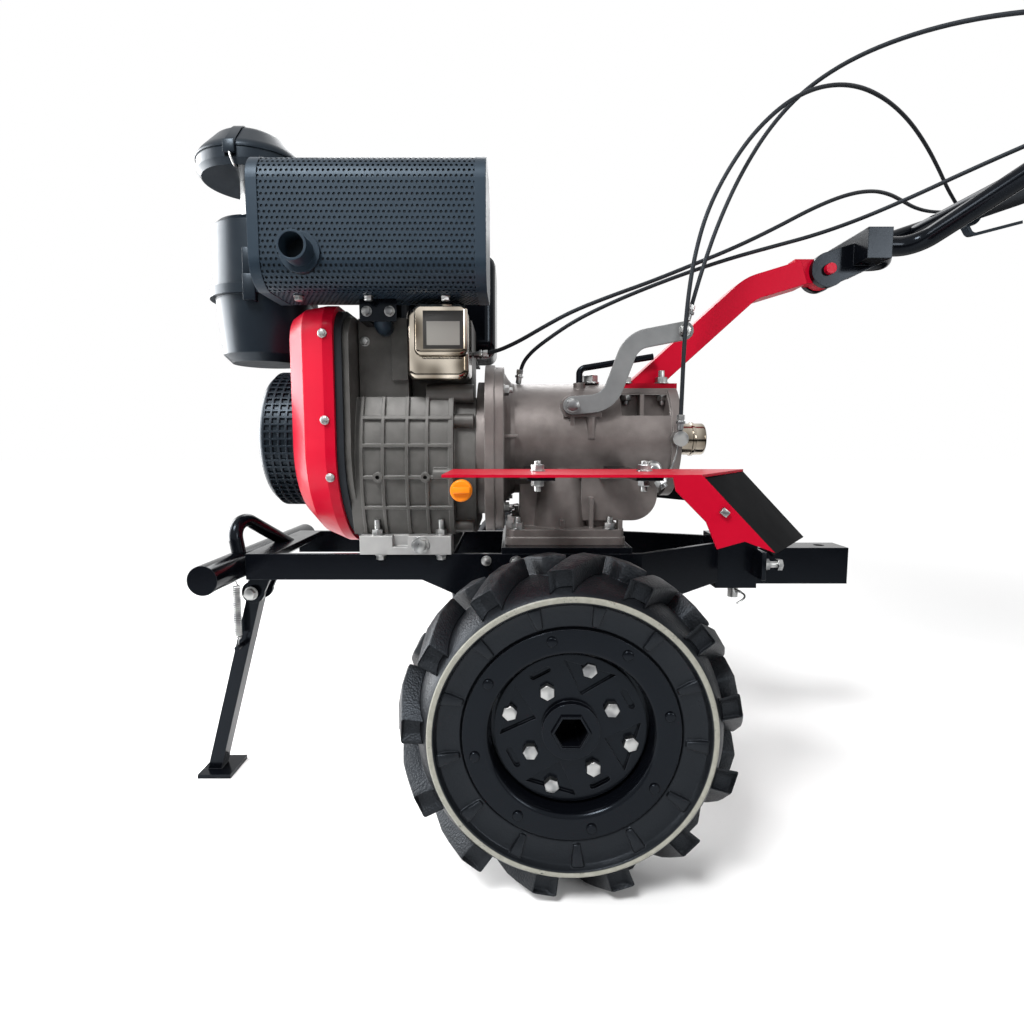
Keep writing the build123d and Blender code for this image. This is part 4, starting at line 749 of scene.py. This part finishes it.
def wrap(shape, angle, side):
    """Shear a lug back towards the middle of the tread and lay it round the wheel."""
    for vert in shape.verts:
        around, across, out = vert.co
        share = (LUG_END - across) / (LUG_END + LUG_PAST_MID)
        drop = max(0.0, (across - LUG_END / 4) / (LUG_END * 0.75)) * LUG_FALL
        out -= drop * over_ring(out)
        lean = over_ring(out)
        flare = 1 + LUG_FLARE * (1 - lean)
        turn = angle + (around * flare - LUG_SWEEP * share) / WRAP_RADIUS
        width = across - LUG_TUCK * lean * max(0.0, 1 - TUCK_FADE * share)
        vert.co = (out * cos(turn), side * width, out * sin(turn))


print("lug sweep", LUG_SWEEP)

# %% Ribs of the wall
RIB_MIDDLE = (0.1355, 0.0395, 0)
RIB_SIZE = (0.0235, 0.011, 0.0110)
RIB_HALF = 0.0118
RIB_EDGE = 0.0016
RIB_LIFT = 0.0026        # it follows the wall outwards
RIB_WIDEN = 0.35


def wall_rib(angle):
    """Short moulded rib in the hollow of the wall, on the +Y side."""
    shape = bmesh.new()
    bmesh.ops.create_cube(shape, size=1, matrix=block(RIB_MIDDLE, RIB_SIZE))
    round_edges(shape, shape.edges[:], RIB_EDGE)
    for vert in shape.verts:
        outwards = (vert.co.x - RIB_MIDDLE[0]) / RIB_HALF
        vert.co.y += RIB_LIFT * outwards
        vert.co.z *= 1 + RIB_WIDEN * outwards
    bmesh.ops.rotate(shape, verts=shape.verts, cent=(0, 0, 0), matrix=Matrix.Rotation(-angle, 3, "Y"))
    return shape


print("rib length", RIB_SIZE[0])

# %% Both tyres
LUGS = 13
LUG_TURN = 2 * pi / LUGS
LUG_FIRST = radians(95)
RIB_FIRST = radians(79)


def tyre_shape(side):
    """Tyre about the origin; side is the way its outer wall faces along Y."""
    inner_half = [(r, -y) for r, y in reversed(WALL_PROFILE)]
    shape = spun(list(WALL_PROFILE) + inner_half, CARCASS_STEPS)
    for row, lag in ((1, 0), (-1, 0.5)):
        for i in range(LUGS):
            lug = one_lug()
            wrap(lug, LUG_FIRST + (i + lag) * LUG_TURN, row)
            bmesh.ops.recalc_face_normals(lug, faces=lug.faces)
            join(shape, lug)
    for i in range(LUGS):
        for row in (1, -1):
            rib = wall_rib(RIB_FIRST + i * LUG_TURN)
            bmesh.ops.scale(rib, verts=rib.verts, vec=(1, row, 1))
            bmesh.ops.recalc_face_normals(rib, faces=rib.faces)
            join(shape, rib)
    bmesh.ops.scale(shape, verts=shape.verts, vec=(1, side, 1))
    if side < 0:
        bmesh.ops.reverse_faces(shape, faces=shape.faces)
    return shape


for name, side in SIDES:
    shape = tyre_shape(side)
    bmesh.ops.translate(shape, verts=shape.verts, vec=(axle.x, side * WHEEL_Y, axle.z))
    piece(f"tyre_{name}_lugged", shape, tyre_rubber[name], f"{name}_wheel", sharp=32,
          replaces=(f"tyre_{name}",))

# %% [markdown]
# ## Bolts
# Bright zinc bolts are what makes the machine look bolted together. A hexagon with a chamfered crown, a
# washer under it and sometimes a stud's end through a nut are all prisms with one rounded end, so one
# helper makes them. All bolts of one body are one mesh.

# %% Bolt helpers
CHAMFER = 0.07           # these are shares of the size across the flats
WASHER_WIDE = 0.68
WASHER_HIGH = 0.11
HEAD_HIGH = 0.5
STUD_WIDE = 0.3
STUD_EDGE = 0.05


def add_prism(shape, at, direction, radius, height, segments, soften, steps, roll=0.0):
    """Upright prism on a point, with the edge of its outer end rounded if asked."""
    seat = aim(at, direction, roll) @ Matrix.Translation((0, 0, height / 2))
    made = bmesh.ops.create_cone(shape, cap_ends=True, segments=segments, radius1=radius, radius2=radius,
                                 depth=height, matrix=seat)
    if soften:
        away = Vector(direction).normalized()
        crown = {v for v in made["verts"] if (v.co - at).dot(away) > height * 0.5}
        edges = [e for e in shape.edges if e.verts[0] in crown and e.verts[1] in crown]
        round_edges(shape, edges, soften, steps)


def add_hex(shape, at, direction, across, height, roll=0.0):
    """Hexagon head or nut with a chamfered crown."""
    add_prism(shape, at, direction, across / sqrt(3), height, 6, across * CHAMFER, 2, roll)


def add_round(shape, at, direction, radius, height, segments=24, soften=0.0):
    """Round disc, stud or boss."""
    add_prism(shape, at, direction, radius, height, segments, soften, 3)


def add_bolt(shape, at, direction, across, roll=0.3, stud=0.0):
    """Washer, hexagon and, for a nut, the stud's end."""
    away = Vector(direction).normalized()
    washer = across * WASHER_HIGH
    head = across * HEAD_HIGH
    add_round(shape, at, away, across * WASHER_WIDE, washer)
    add_hex(shape, at + away * washer, away, across, head, roll)
    if stud:
        add_round(shape, at + away * (washer + head), away, across * STUD_WIDE, stud, 16,
                  across * STUD_EDGE)


print("bolt helpers ready")

# %% Hub bolts
HUB_FACE_OUT = 0.022
POCKET_DEEP = 0.005
HUB_HEAD = 0.0152        # across its flats
HUB_HEAD_HIGH = 0.0078
HUB_CIRCLES = (
    # distance from the axle, how far sunk, angles in degrees
    (0.070, POCKET_DEEP, (73, -15, -107, 165)),
    (0.051, 0, (28, -60, -151, 121)),
)
for name, side in SIDES:
    shape = bmesh.new()
    for radius, sunk, angles in HUB_CIRCLES:
        for angle in map(radians, angles):
            spot = round_axle(radius, angle, side * (WHEEL_Y + HUB_FACE_OUT - sunk))
            add_hex(shape, spot, (0, side, 0), HUB_HEAD, HUB_HEAD_HIGH, angle)
    piece(f"hub_bolts_{name}", shape, zinc, f"{name}_wheel", sharp=25)

# %% [markdown]
# ## Perforated guard
# A steel sheet full of small staggered holes wraps the muffler. Hexagonal cells tile a staggered
# pattern without gaps, so one cell with a hole is copied into a row, the row into a sheet, and the flat
# sheet is then bent round the muffler's rounded section. Holes painted on with transparency would lose
# the sheet's edge in each hole, which catches the light.

# %% Guard measures
HOLE_PITCH = 0.0064
HOLE_SHARE = 0.60
ROW_STEP = 0.0070        # the rows lie further apart than a regular hexagon's
SHEET_DEEP = 0.0011
SHEET_GAP = 0.0003       # between sheet and can
MUFFLER_SIDE = -0.131    # middle of the section
MUFFLER_W = 0.134
MUFFLER_H = 0.162
MUFFLER_MID = 0.786
MUFFLER_CORNER = 0.034
cell_radius = HOLE_PITCH / sqrt(3)
columns = round((sheet_rear - sheet_front) / HOLE_PITCH)
girth = 2 * (MUFFLER_W + MUFFLER_H) - 8 * MUFFLER_CORNER + 2 * pi * MUFFLER_CORNER
rows = 2 * round(girth / ROW_STEP / 2)
row_fit = girth / rows
print("guard", sheet_rear - sheet_front, "by", girth)


# %% One hole and its copies
def sink_hole(shape, face, deep):
    """Open a face into a hole whose wall goes down by a depth."""
    wall = bmesh.ops.extrude_discrete_faces(shape, faces=[face])
    bmesh.ops.translate(shape, verts=wall["faces"][0].verts, vec=(0, 0, -deep))
    bmesh.ops.delete(shape, geom=wall["faces"], context="FACES_ONLY")


def copies(shape, count, step):
    """Copy all of a shape count - 1 times, each a step further."""
    source = everything(shape)
    for i in range(1, count):
        made = bmesh.ops.duplicate(shape, geom=source)
        verts = [g for g in made["geom"] if isinstance(g, bmesh.types.BMVert)]
        bmesh.ops.translate(shape, verts=verts, vec=step(i))


def middle_face(shape):
    return min(shape.faces, key=lambda f: f.calc_center_median().length)


def guard_cell():
    """Hexagonal cell with a round hole."""
    shape = bmesh.new()
    bmesh.ops.create_circle(shape, cap_ends=True, segments=6, radius=cell_radius)
    bmesh.ops.scale(shape, verts=shape.verts, vec=(1, ROW_STEP / (cell_radius * 1.5), 1))
    bmesh.ops.subdivide_edges(shape, edges=shape.edges[:], cuts=1)
    bmesh.ops.inset_region(shape, faces=shape.faces[:], thickness=HOLE_PITCH * (1 - HOLE_SHARE) / 2,
                           use_boundary=True, use_even_offset=True)
    hole = middle_face(shape)
    for vert in hole.verts:
        vert.co = vert.co.normalized() * HOLE_PITCH * HOLE_SHARE / 2
    sink_hole(shape, hole, SHEET_DEEP)
    return shape


print("guard holes", columns * rows)


# %% Guard sheet round the muffler
def round_section(run):
    """Point and outward normal after a run round the muffler's section, from the top's middle."""
    flat_w = MUFFLER_W - 2 * MUFFLER_CORNER
    flat_h = MUFFLER_H - 2 * MUFFLER_CORNER
    arc = MUFFLER_CORNER * pi / 2
    stretches = ((flat_w / 2, 0), (arc, 1), (flat_h, 0), (arc, 1), (flat_w, 0), (arc, 1), (flat_h, 0),
                 (arc, 1), (flat_w / 2, 0))
    heading = pi / 2
    point = Vector((0, 0.0, MUFFLER_H / 2))
    left = run % girth
    for length, bend in stretches:
        go = min(left, length)
        if bend:
            centre = point - Vector((0, cos(heading), sin(heading))) * MUFFLER_CORNER
            heading += go / MUFFLER_CORNER
            point = centre + Vector((0, cos(heading), sin(heading))) * MUFFLER_CORNER
        else:
            point = point + Vector((0, -sin(heading), cos(heading))) * go
        left -= go
        if left <= 1e-12:
            break
    return point, Vector((0, cos(heading), sin(heading)))


shape = guard_cell()
copies(shape, columns, lambda i: (i * HOLE_PITCH, 0, 0))
copies(shape, rows, lambda i: ((i % 2) * HOLE_PITCH / 2, i * ROW_STEP, 0))
for vert in shape.verts:
    along, run, depth = vert.co
    point, normal = round_section(run * row_fit / ROW_STEP)
    spot = point + normal * (depth + SHEET_DEEP + SHEET_GAP)
    vert.co = place(sheet_front + along + HOLE_PITCH / 4, MUFFLER_SIDE + spot.y, MUFFLER_MID + spot.z)
bmesh.ops.remove_doubles(shape, verts=shape.verts, dist=MERGE)
piece("muffler_guard", shape, guard_paint, "chassis", sharp=40)

# %% [markdown]
# ## Starter grille
# The recoil starter breathes through a lattice of square windows. It is made like the guard: one square
# cell with a hole, copied into a flat sheet and bent round the starter's drum.

# %% Starter grille
starter_low, starter_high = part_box("recoil_starter")
DRUM_RADIUS = (starter_high.z - starter_low.z) / 2
DRUM_MID = (starter_high.z + starter_low.z) / 2
GRILLE_COLUMNS = 4
GRILLE_ROWS = 62
GRILLE_DEEP = 0.0030
GRILLE_BAR = 0.0030
GRILLE_GAP = 0.0002
GRILLE_START = starter_low.x + 0.011
grille_pitch = (starter_high.x - 0.001 - GRILLE_START) / GRILLE_COLUMNS
row_run = 2 * pi / GRILLE_ROWS * DRUM_RADIUS
shape = bmesh.new()
bmesh.ops.create_grid(shape, x_segments=1, y_segments=1, size=0.5)
bmesh.ops.scale(shape, verts=shape.verts, vec=(grille_pitch, row_run, 1))
bmesh.ops.inset_region(shape, faces=shape.faces[:], thickness=GRILLE_BAR / 2, use_boundary=True,
                       use_even_offset=True)
sink_hole(shape, middle_face(shape), GRILLE_DEEP)
copies(shape, GRILLE_COLUMNS, lambda i: (i * grille_pitch, 0, 0))
copies(shape, GRILLE_ROWS, lambda i: (0, i * row_run, 0))
for vert in shape.verts:
    along, run, depth = vert.co
    radius = DRUM_RADIUS + GRILLE_DEEP + GRILLE_GAP + depth
    turn = run / DRUM_RADIUS
    vert.co = Vector((GRILLE_START + grille_pitch / 2 + along, -radius * sin(turn),
                      DRUM_MID + radius * cos(turn)))
bmesh.ops.remove_doubles(shape, verts=shape.verts, dist=MERGE)
bmesh.ops.recalc_face_normals(shape, faces=shape.faces)
piece("starter_grille", shape, black_plastic, "chassis", sharp=30)

# %% [markdown]
# ## Bolts, studs and plugs
# Now a table of every bolt that shows: where it sits, which way it faces, the size across its flats and,
# for a nut, how far its stud comes through. Most have a twin on the right, so the table holds the left
# one and the loop mirrors it.

# %% Bolts on the chassis
HEAD_ROLL = 40           # turns each head by its station, so that neighbours differ
arm_low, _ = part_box("clutch_arm")
rail_low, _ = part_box("frame_rails")
fender_low, fender_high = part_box("fender_left")
strut_low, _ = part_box("fender_arms")
foot_low, foot_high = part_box("engine_feet")
muffler_low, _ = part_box("muffler")
bracket_low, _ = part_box("stand_bracket")
PAIRED_BOLTS = (
    # station, Y, height, direction, across flats, stud; each has a twin on the right
    (-0.259, -0.110, foot_high.z, UP, 0.014, 0.014),
    (-0.167, -0.110, foot_high.z, UP, 0.014, 0.014),
    (-0.253, rail_low.y - 0.003, 0.350, DOWN, 0.012, 0.0),
    (-0.167, rail_low.y - 0.003, 0.350, DOWN, 0.012, 0.0),
    (-0.102, rail_low.y, 0.340, OUT, 0.011, 0.003),
    (-0.059, rail_low.y, 0.338, OUT, 0.014, 0.003),
    (0.064, rail_low.y, 0.340, OUT, 0.012, 0.003),
    (-0.057, -0.083, 0.382, UP, 0.016, 0.008),
    (0.080, -0.083, 0.382, UP, 0.016, 0.008),
    (-0.036, -0.290, fender_high.z, UP, 0.013, 0.004),
    (0.085, -0.290, fender_high.z, UP, 0.013, 0.004),
    (-0.036, -0.290, strut_low.z, DOWN, 0.013, 0.006),
    (0.085, -0.290, strut_low.z, DOWN, 0.013, 0.006),
    (0.163, -0.036, 0.599, UP, 0.016, 0.010),
    (0.108, -0.036, 0.599, UP, 0.016, 0.010),
    (0.163, -0.044, 0.581, DOWN, 0.014, 0.006),
    (0.108, -0.044, 0.581, DOWN, 0.014, 0.006),
    (-0.077, -0.086, 0.585, REAR, 0.013, 0.005),
    (-0.077, -0.086, 0.415, REAR, 0.013, 0.005),
)
LEFT_BOLTS = (
    (-0.452, bracket_low.y, 0.287, OUT, 0.015, 0.0),
    (-0.348, -0.150, muffler_low.z, DOWN, 0.010, 0.0),
    (-0.255, -0.150, muffler_low.z, DOWN, 0.010, 0.0),
    (-0.153, -0.150, muffler_low.z, DOWN, 0.010, 0.0),
    (-0.262, -0.133, 0.687, OUT, 0.0105, 0.0),
    (-0.231, -0.133, 0.687, OUT, 0.0105, 0.0),
    (-0.276, -0.088, 0.654, OUT, 0.010, 0.0),
    (0.143, -0.078, 0.470, OUT, 0.020, 0.006),
    (0.022, arm_low.y, 0.563, OUT, 0.015, 0.0),
    (0.180, arm_low.y, 0.668, OUT, 0.013, 0.004),
    (0.057, -0.010, 0.601, UP, 0.022, 0.0),
)
shape = bmesh.new()
for station, y, z, direction, across, stud in PAIRED_BOLTS:
    for side in (1, -1):
        away = Vector((direction.x, side * direction.y, direction.z))
        add_bolt(shape, place(station, side * y, z), away, across, station * HEAD_ROLL, stud)
for station, y, z, direction, across, stud in LEFT_BOLTS:
    add_bolt(shape, place(station, y, z), direction, across, station * HEAD_ROLL, stud)
piece("chassis_bolts", shape, zinc, "chassis", sharp=25)
print("bolts", 2 * len(PAIRED_BOLTS) + len(LEFT_BOLTS))

# %% Screws of the shroud and the drain plugs
SEAT_HIGH = 0.003
SCREW_SEAT = 0.0062      # radius
SCREW_HEAD = 0.008       # across its flats
PLUG_SEAT = 0.0130
PLUG_HEAD = 0.0185
SCREWS = (
    # station, Y, height
    (-0.318, -0.150, 0.655), (-0.318, -0.150, 0.540), (-0.314, -0.146, 0.462),
)
shape = bmesh.new()
for side in (1, -1):
    away = OUT * side
    for station, y, z in SCREWS:
        spot = place(station, side * y, z)
        add_round(shape, spot, away, SCREW_SEAT, SEAT_HIGH, soften=0.0012)
        add_hex(shape, spot + away * SEAT_HIGH, away, SCREW_HEAD, 0.0025, roll=0.4)
    plug = place(-0.196, side * foot_low.y, 0.364)
    add_round(shape, plug, away, PLUG_SEAT, SEAT_HIGH, segments=32, soften=0.001)
    add_hex(shape, plug + away * SEAT_HIGH, away, PLUG_HEAD, 0.007, roll=0.2)
piece("shroud_screws", shape, zinc, "chassis", sharp=25)

# %% [markdown]
# ## Plate, filler grip and air cleaner
# A blank plate sits on the chrome cover, the filler cap has a grip across it, and the air cleaner's cup
# hangs on two latches. All are small moulded or pressed boxes, so a cube with rounded edges is enough;
# the plate's dark border is part of its finish and not of its shape.


# %% Box helper
def add_box(shape, low, high, soften):
    """Box between two corners with rounded edges."""
    low, high = Vector(low), Vector(high)
    made = bmesh.ops.create_cube(shape, size=1, matrix=block((low + high) / 2, high - low))
    edges = {e for v in made["verts"] for e in v.link_edges}
    round_edges(shape, list(edges), soften)


print("box helper ready")

# %% Label plate
cover_low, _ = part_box("rocker_cover")
LABEL_LOW = place(-0.184, cover_low.y - 0.0008, 0.635)
LABEL_HIGH = place(-0.130, cover_low.y + 0.0004, 0.685)
BORDER = 0.005
HEADING = 0.0142         # depth of the dark band at the top
PRINT_EDGE = 0.0004


def label_finish():
    """Pale plate with a dark border, worked out from the distance to the plate's middle."""
    f = Finish("label", {"Specular IOR Level": 0.4})
    x, _, z = f.coords((LABEL_LOW + LABEL_HIGH) / 2)
    half = (LABEL_HIGH - LABEL_LOW) / 2
    border_x = ((x * x) ** 0.5).ramp(half.x - BORDER, half.x - BORDER + PRINT_EDGE)
    border_z = ((z * z) ** 0.5).ramp(half.z - BORDER, half.z - BORDER + PRINT_EDGE)
    band = z.ramp(half.z - HEADING, half.z - HEADING + PRINT_EDGE)
    dark = 1 - (1 - border_x) * (1 - border_z) * (1 - band)
    f.feed("Base Color", f.mix(dark, (0.20, 0.195, 0.18), (0.018, 0.017, 0.016)))
    f.feed("Roughness", f.noise(60) * 0.15 + 0.3)
    return f.material


shape = bmesh.new()
add_box(shape, LABEL_LOW, LABEL_HIGH, 0.0003)
piece("label_plate", shape, label_finish(), "chassis")

# %% Filler grip
cap_low, cap_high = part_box("oil_cap")
cap_mid = (cap_low + cap_high) / 2
shape = bmesh.new()
add_box(shape, (cap_mid.x - 0.011, cap_low.y - 0.006, cap_mid.z - 0.0035),
        (cap_mid.x + 0.013, cap_low.y + 0.002, cap_mid.z + 0.0055), 0.0015)
piece("filler_grip", shape, orange_plastic, "chassis")

# %% Air cleaner latches
cup_low, cup_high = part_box("air_cleaner_cup")
cup_axis = (cup_low + cup_high) / 2
cup_radius = (cup_high.y - cup_low.y) / 2
LATCH_SUNK = 0.004
LATCH_TABS = (
    # lower end, upper end, how far it stands out
    (-0.026, 0.012, 0.007), (0.010, 0.050, 0.004),
)
shape = bmesh.new()
for angle in (radians(-84), radians(96)):
    seat = cup_axis + Vector((cos(angle), sin(angle), 0)) * (cup_radius - LATCH_SUNK)
    hang = Matrix.Translation((seat.x, seat.y, cup_high.z)) @ Matrix.Rotation(angle - pi / 2, 4, "Z")
    for low, high, deep in LATCH_TABS:
        tab = bmesh.new()
        add_box(tab, (-0.009, -0.006, low), (0.009, deep, high), 0.0012)
        bmesh.ops.transform(tab, verts=tab.verts, matrix=hang)
        join(shape, tab)
piece("air_cleaner_latches", shape, black_plastic, "chassis")

# %% [markdown]
# ## Strap of the air cleaner
# A flat strap runs from the cap's crown down to a buckle at its rim, and a bent wire hooks under it. The
# strap is a narrow grid whose rows are laid on the cap's outline and then given a thickness, which keeps
# it on the cap without a shrinkwrap.

# %% Strap and rim of the air cleaner's cap
hood_low, hood_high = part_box("air_cleaner_cap")
hood_mid = Vector(((hood_low.x + hood_high.x) / 2, (hood_low.y + hood_high.y) / 2, hood_low.z))
STRAP_OUT = 0.0016
STRAP_WIDTH = 0.015
STRAP_THICK = 0.0012
STRAP_LINE = (
    # distance from the cap's axis, height over its underside
    (0.0220, 0.0670), (0.0346, 0.0670), (0.0451, 0.0648), (0.0537, 0.0586),
    (0.0742, 0.0363), (0.0785, 0.0294), (0.0800, 0.0214), (0.0800, 0.0080),
)
RIM_LINE = (
    # distance from the cap's axis, Y before the ring is turned upright
    (0.0780, -0.0228), (0.0815, -0.0236), (0.0815, -0.0264), (0.0780, -0.0272),
)
shape = bmesh.new()
bmesh.ops.create_grid(shape, x_segments=len(STRAP_LINE) - 1, y_segments=1, size=0.5)
for vert in shape.verts:
    reach, height = STRAP_LINE[round((vert.co.x + 0.5) * (len(STRAP_LINE) - 1))]
    tilt = Vector((reach, height - 0.02)).normalized() * STRAP_OUT
    vert.co = (vert.co.y * STRAP_WIDTH, -reach - tilt.x, height + tilt.y)
bmesh.ops.solidify(shape, geom=shape.faces[:], thickness=STRAP_THICK)
add_box(shape, (-0.0085, -0.0862, 0.012), (0.0085, -0.0780, 0.030), 0.0012)
rim = spun(RIM_LINE, 96)
bmesh.ops.rotate(rim, verts=rim.verts, cent=(0, 0, 0), matrix=Matrix.Rotation(-pi / 2, 3, "X"))
join(shape, rim)
bmesh.ops.translate(shape, verts=shape.verts, vec=hood_mid)
piece("air_cleaner_strap", shape, black_plastic, "chassis", sharp=30)

# %% Wire under the buckle
HOOK_RADIUS = 0.0014
HOOK_LINE = (
    # from the middle of the cap's underside
    (0.0, -0.0845, 0.014), (0.002, -0.0850, 0.008), (0.004, -0.0840, 0.001), (0.005, -0.0780, -0.004),
    (0.005, -0.0700, -0.003), (0.005, -0.0660, 0.003),
)
hook = nurbs_tube("cap_wire", [hood_mid + Vector(p) for p in HOOK_LINE], HOOK_RADIUS, fineness=2)
piece("cap_wire", hook, zinc, "chassis")

# %% [markdown]
# ## Cable ends
# Each lower cable end has a threaded adjuster with two nuts, and the reverse cable's bare wire runs on to
# a short rod on the gearbox. The threads are too fine to show, so a plain round stands for each.

# %% Cable adjusters
ADJUSTER_RADIUS = 0.0045
ADJUSTER_LENGTH = 0.020
ADJUSTER_NUTS = (
    # distance along the cable, across flats, height, turn
    (0.010, 0.0115, 0.004, 0.0), (0.016, 0.0100, 0.007, 0.3),
)
shape = bmesh.new()
for route in CABLE_ROUTES.values():
    first, second = (place(*row) for row in route[:2])
    along = (second - first).normalized()
    add_round(shape, first + along * 0.001, along, ADJUSTER_RADIUS, ADJUSTER_LENGTH, 20, 0.0006)
    for start, across, height, roll in ADJUSTER_NUTS:
        add_hex(shape, first + along * start, along, across, height, roll)
piece("cable_adjusters", shape, zinc, "chassis", sharp=25)

# %% Reverse linkage
ROD_AT = place(0.146, -0.086, 0.464)
ROD_ALONG = Vector((0.50, -0.25, -0.83)).normalized()
PULL_RADIUS = 0.0013
shape = bmesh.new()
add_round(shape, ROD_AT - ROD_ALONG * 0.012, ROD_ALONG, 0.0055, 0.036, 24, 0.001)
add_hex(shape, ROD_AT + ROD_ALONG * 0.010, ROD_ALONG, 0.0165, 0.009, 0.4)
pull = (place(*CABLE_ROUTES["cable_reverse"][0]), place(0.1745, -0.1015, 0.508),
        place(0.170, -0.100, 0.482), ROD_AT + ROD_ALONG * 0.020)
join(shape, nurbs_tube("pull", pull, PULL_RADIUS, fineness=2))
piece("reverse_linkage", shape, zinc, "chassis", sharp=25)

# %% [markdown]
# ## Square nuts and hitch flange
# A square nut sits askew on each fender's skirt, and a set bolt stands on a flange at the side of the
# hitch. The nut is made once about the origin and placed by a matrix, so its twin is only a mirror.

# %% Square nuts and set bolt
NUT_LOW = (-0.0044, -0.0040, -0.0036)
NUT_HIGH = (0.0044, 0.0010, 0.0036)
NUT_TURN = Matrix.Rotation(radians(40), 4, "Y")
hitch_low, hitch_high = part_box("hitch_box")
shape = bmesh.new()
for side in (1, -1):
    nut = bmesh.new()
    add_box(nut, NUT_LOW, NUT_HIGH, 0.0008)
    turn = Matrix.Translation(place(0.1526, side * fender_low.y, 0.4395)) @ NUT_TURN
    bmesh.ops.transform(nut, verts=nut.verts, matrix=turn @ Matrix.Diagonal((1, side, 1, 1)))
    bmesh.ops.recalc_face_normals(nut, faces=nut.faces)
    join(shape, nut)
set_bolt = Vector((hitch_high.x, hitch_low.y - 0.020, 0.322))
add_hex(shape, set_bolt, REAR, 0.0165, 0.0095, 0.2)
add_round(shape, set_bolt + REAR * 0.0090, REAR, 0.0050, 0.014, 20)
add_hex(shape, set_bolt + REAR * 0.0220, REAR, 0.0165, 0.0075, 0.5)
piece("square_nuts", shape, zinc, "chassis", sharp=25)

# %% Hitch flange
shape = bmesh.new()
add_box(shape, (hitch_high.x - 0.007, hitch_low.y - 0.036, 0.300),
        (hitch_high.x, hitch_low.y + 0.002, 0.344), 0.0015)
piece("hitch_flange", shape, black_enamel, "chassis", sharp=25)

# %% [markdown]
# ## Hub trim, end cap bands and hitch clip
# A raised hexagon lip surrounds each axle hole, and eight low bumps sit on the rim. The gearbox's end cap
# has two turned bands, and a bent wire clip keeps the hitch pin in place. A spin of only six steps gives
# the hexagon, and the clip is a NURBS tube like the cables.

# %% Hub lips and rim bumps
hub_low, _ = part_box("hub_left")
LIP_OUT = 0.0225
LIP_IN = 0.0192
LIP_HIGH = 0.0035
LIP_FOOT = 0.002         # below the hub's face
BUMPS = 8
BUMP_FIRST = 12          # degrees
BUMP_CIRCLE = 0.108
BUMP_SUNK = 0.0005
BUMP_RADIUS = 0.0058
BUMP_HIGH = 0.0034
hub_face = abs(hub_low.y) - WHEEL_Y
bump_face = abs(rim_low.y) - BUMP_SUNK
lip_line = (
    (LIP_IN, hub_face - LIP_FOOT), (LIP_IN, hub_face + LIP_HIGH), (LIP_OUT - 0.001, hub_face + LIP_HIGH),
    (LIP_OUT, hub_face + 0.0022), (LIP_OUT, hub_face - LIP_FOOT),
)
for name, side in SIDES:
    lip = spun(lip_line, 6)
    bmesh.ops.scale(lip, verts=lip.verts, vec=(1, side, 1))
    bmesh.ops.translate(lip, verts=lip.verts, vec=(axle.x, side * WHEEL_Y, axle.z))
    bmesh.ops.recalc_face_normals(lip, faces=lip.faces)
    for i in range(BUMPS):
        spot = round_axle(BUMP_CIRCLE, radians(BUMP_FIRST + i * 360 / BUMPS), side * bump_face)
        add_round(lip, spot, (0, side, 0), BUMP_RADIUS, BUMP_HIGH, 20, 0.0018)
    piece(f"hub_trim_{name}", lip, black_enamel, f"{name}_wheel", sharp=25)

# %% End cap bands
end_low, end_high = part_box("gearbox_end_cap")
end_mid = (end_low + end_high) / 2
end_radius = (end_high.z - end_low.z) / 2
BANDS = (
    # share of the cap's length, how far it stands out, width
    (0.10, 0.0030, 0.007), (0.62, 0.0016, 0.005),
)
shape = bmesh.new()
for share, grow, thick in BANDS:
    spot = Vector((end_low.x + share * (end_high.x - end_low.x), end_mid.y, end_mid.z))
    add_round(shape, spot, REAR, end_radius + grow, thick, 64, 0.0012)
piece("end_cap_bands", shape, chrome, "chassis", sharp=30)

# %% Hitch clip
pin_low, pin_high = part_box("hitch_pin")
pin_mid = (pin_low + pin_high) / 2
pin_foot = Vector((pin_mid.x, pin_mid.y, pin_low.z + 0.008))
CLIP_RADIUS = 0.0016
CLIP_LINE = (
    # from the pin's foot
    (0.004, -0.026, 0.006), (0.000, -0.010, 0.006), (0.000, 0.010, 0.006), (0.002, 0.016, 0.004),
    (0.010, 0.014, 0.000), (0.012, 0.004, -0.002), (0.012, -0.008, 0.000), (0.014, -0.018, -0.002),
    (0.008, -0.028, -0.006), (-0.004, -0.030, -0.012),
)
clip = nurbs_tube("hitch_clip", [pin_foot + Vector(p) for p in CLIP_LINE], CLIP_RADIUS, fineness=2)
piece("hitch_clip", clip, zinc, "chassis")

# %% [markdown]
# ## Stand springs
# Two coil springs pull the stand past its middle both ways. A coil is a helix of control points with a
# straight hook at each end, swept into a wire.

# %% Springs
SPRING_RADIUS = 0.0056
WIRE_RADIUS = 0.0010
TURNS = 27
TURN_POINTS = 8
HOOK = 0.008             # straight end
COIL_START = 0.012       # from each end of the spring to its first turn
SPRING_INSET = 0.0065    # from the box's side to the coil's middle
spring_low, spring_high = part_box("stand_springs")
x = (spring_low.x + spring_high.x) / 2
coil_run = spring_high.z - spring_low.z - 2 * COIL_START
steps = TURNS * TURN_POINTS
shape = bmesh.new()
for y in (spring_low.y + SPRING_INSET, spring_high.y - SPRING_INSET):
    points = [Vector((x, y, spring_high.z)), Vector((x, y, spring_high.z - HOOK))]
    for i in range(steps + 1):
        angle = i * 2 * pi / TURN_POINTS
        height = spring_high.z - COIL_START - coil_run * i / steps
        points.append(Vector((x + SPRING_RADIUS * cos(angle), y + SPRING_RADIUS * sin(angle), height)))
    points += [Vector((x, y, spring_low.z + HOOK)), Vector((x, y, spring_low.z))]
    join(shape, nurbs_tube("spring", points, WIRE_RADIUS, fineness=1))
springs = piece("stand_coils", shape, zinc, None, sharp=60, replaces=("stand_springs",))
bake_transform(springs)
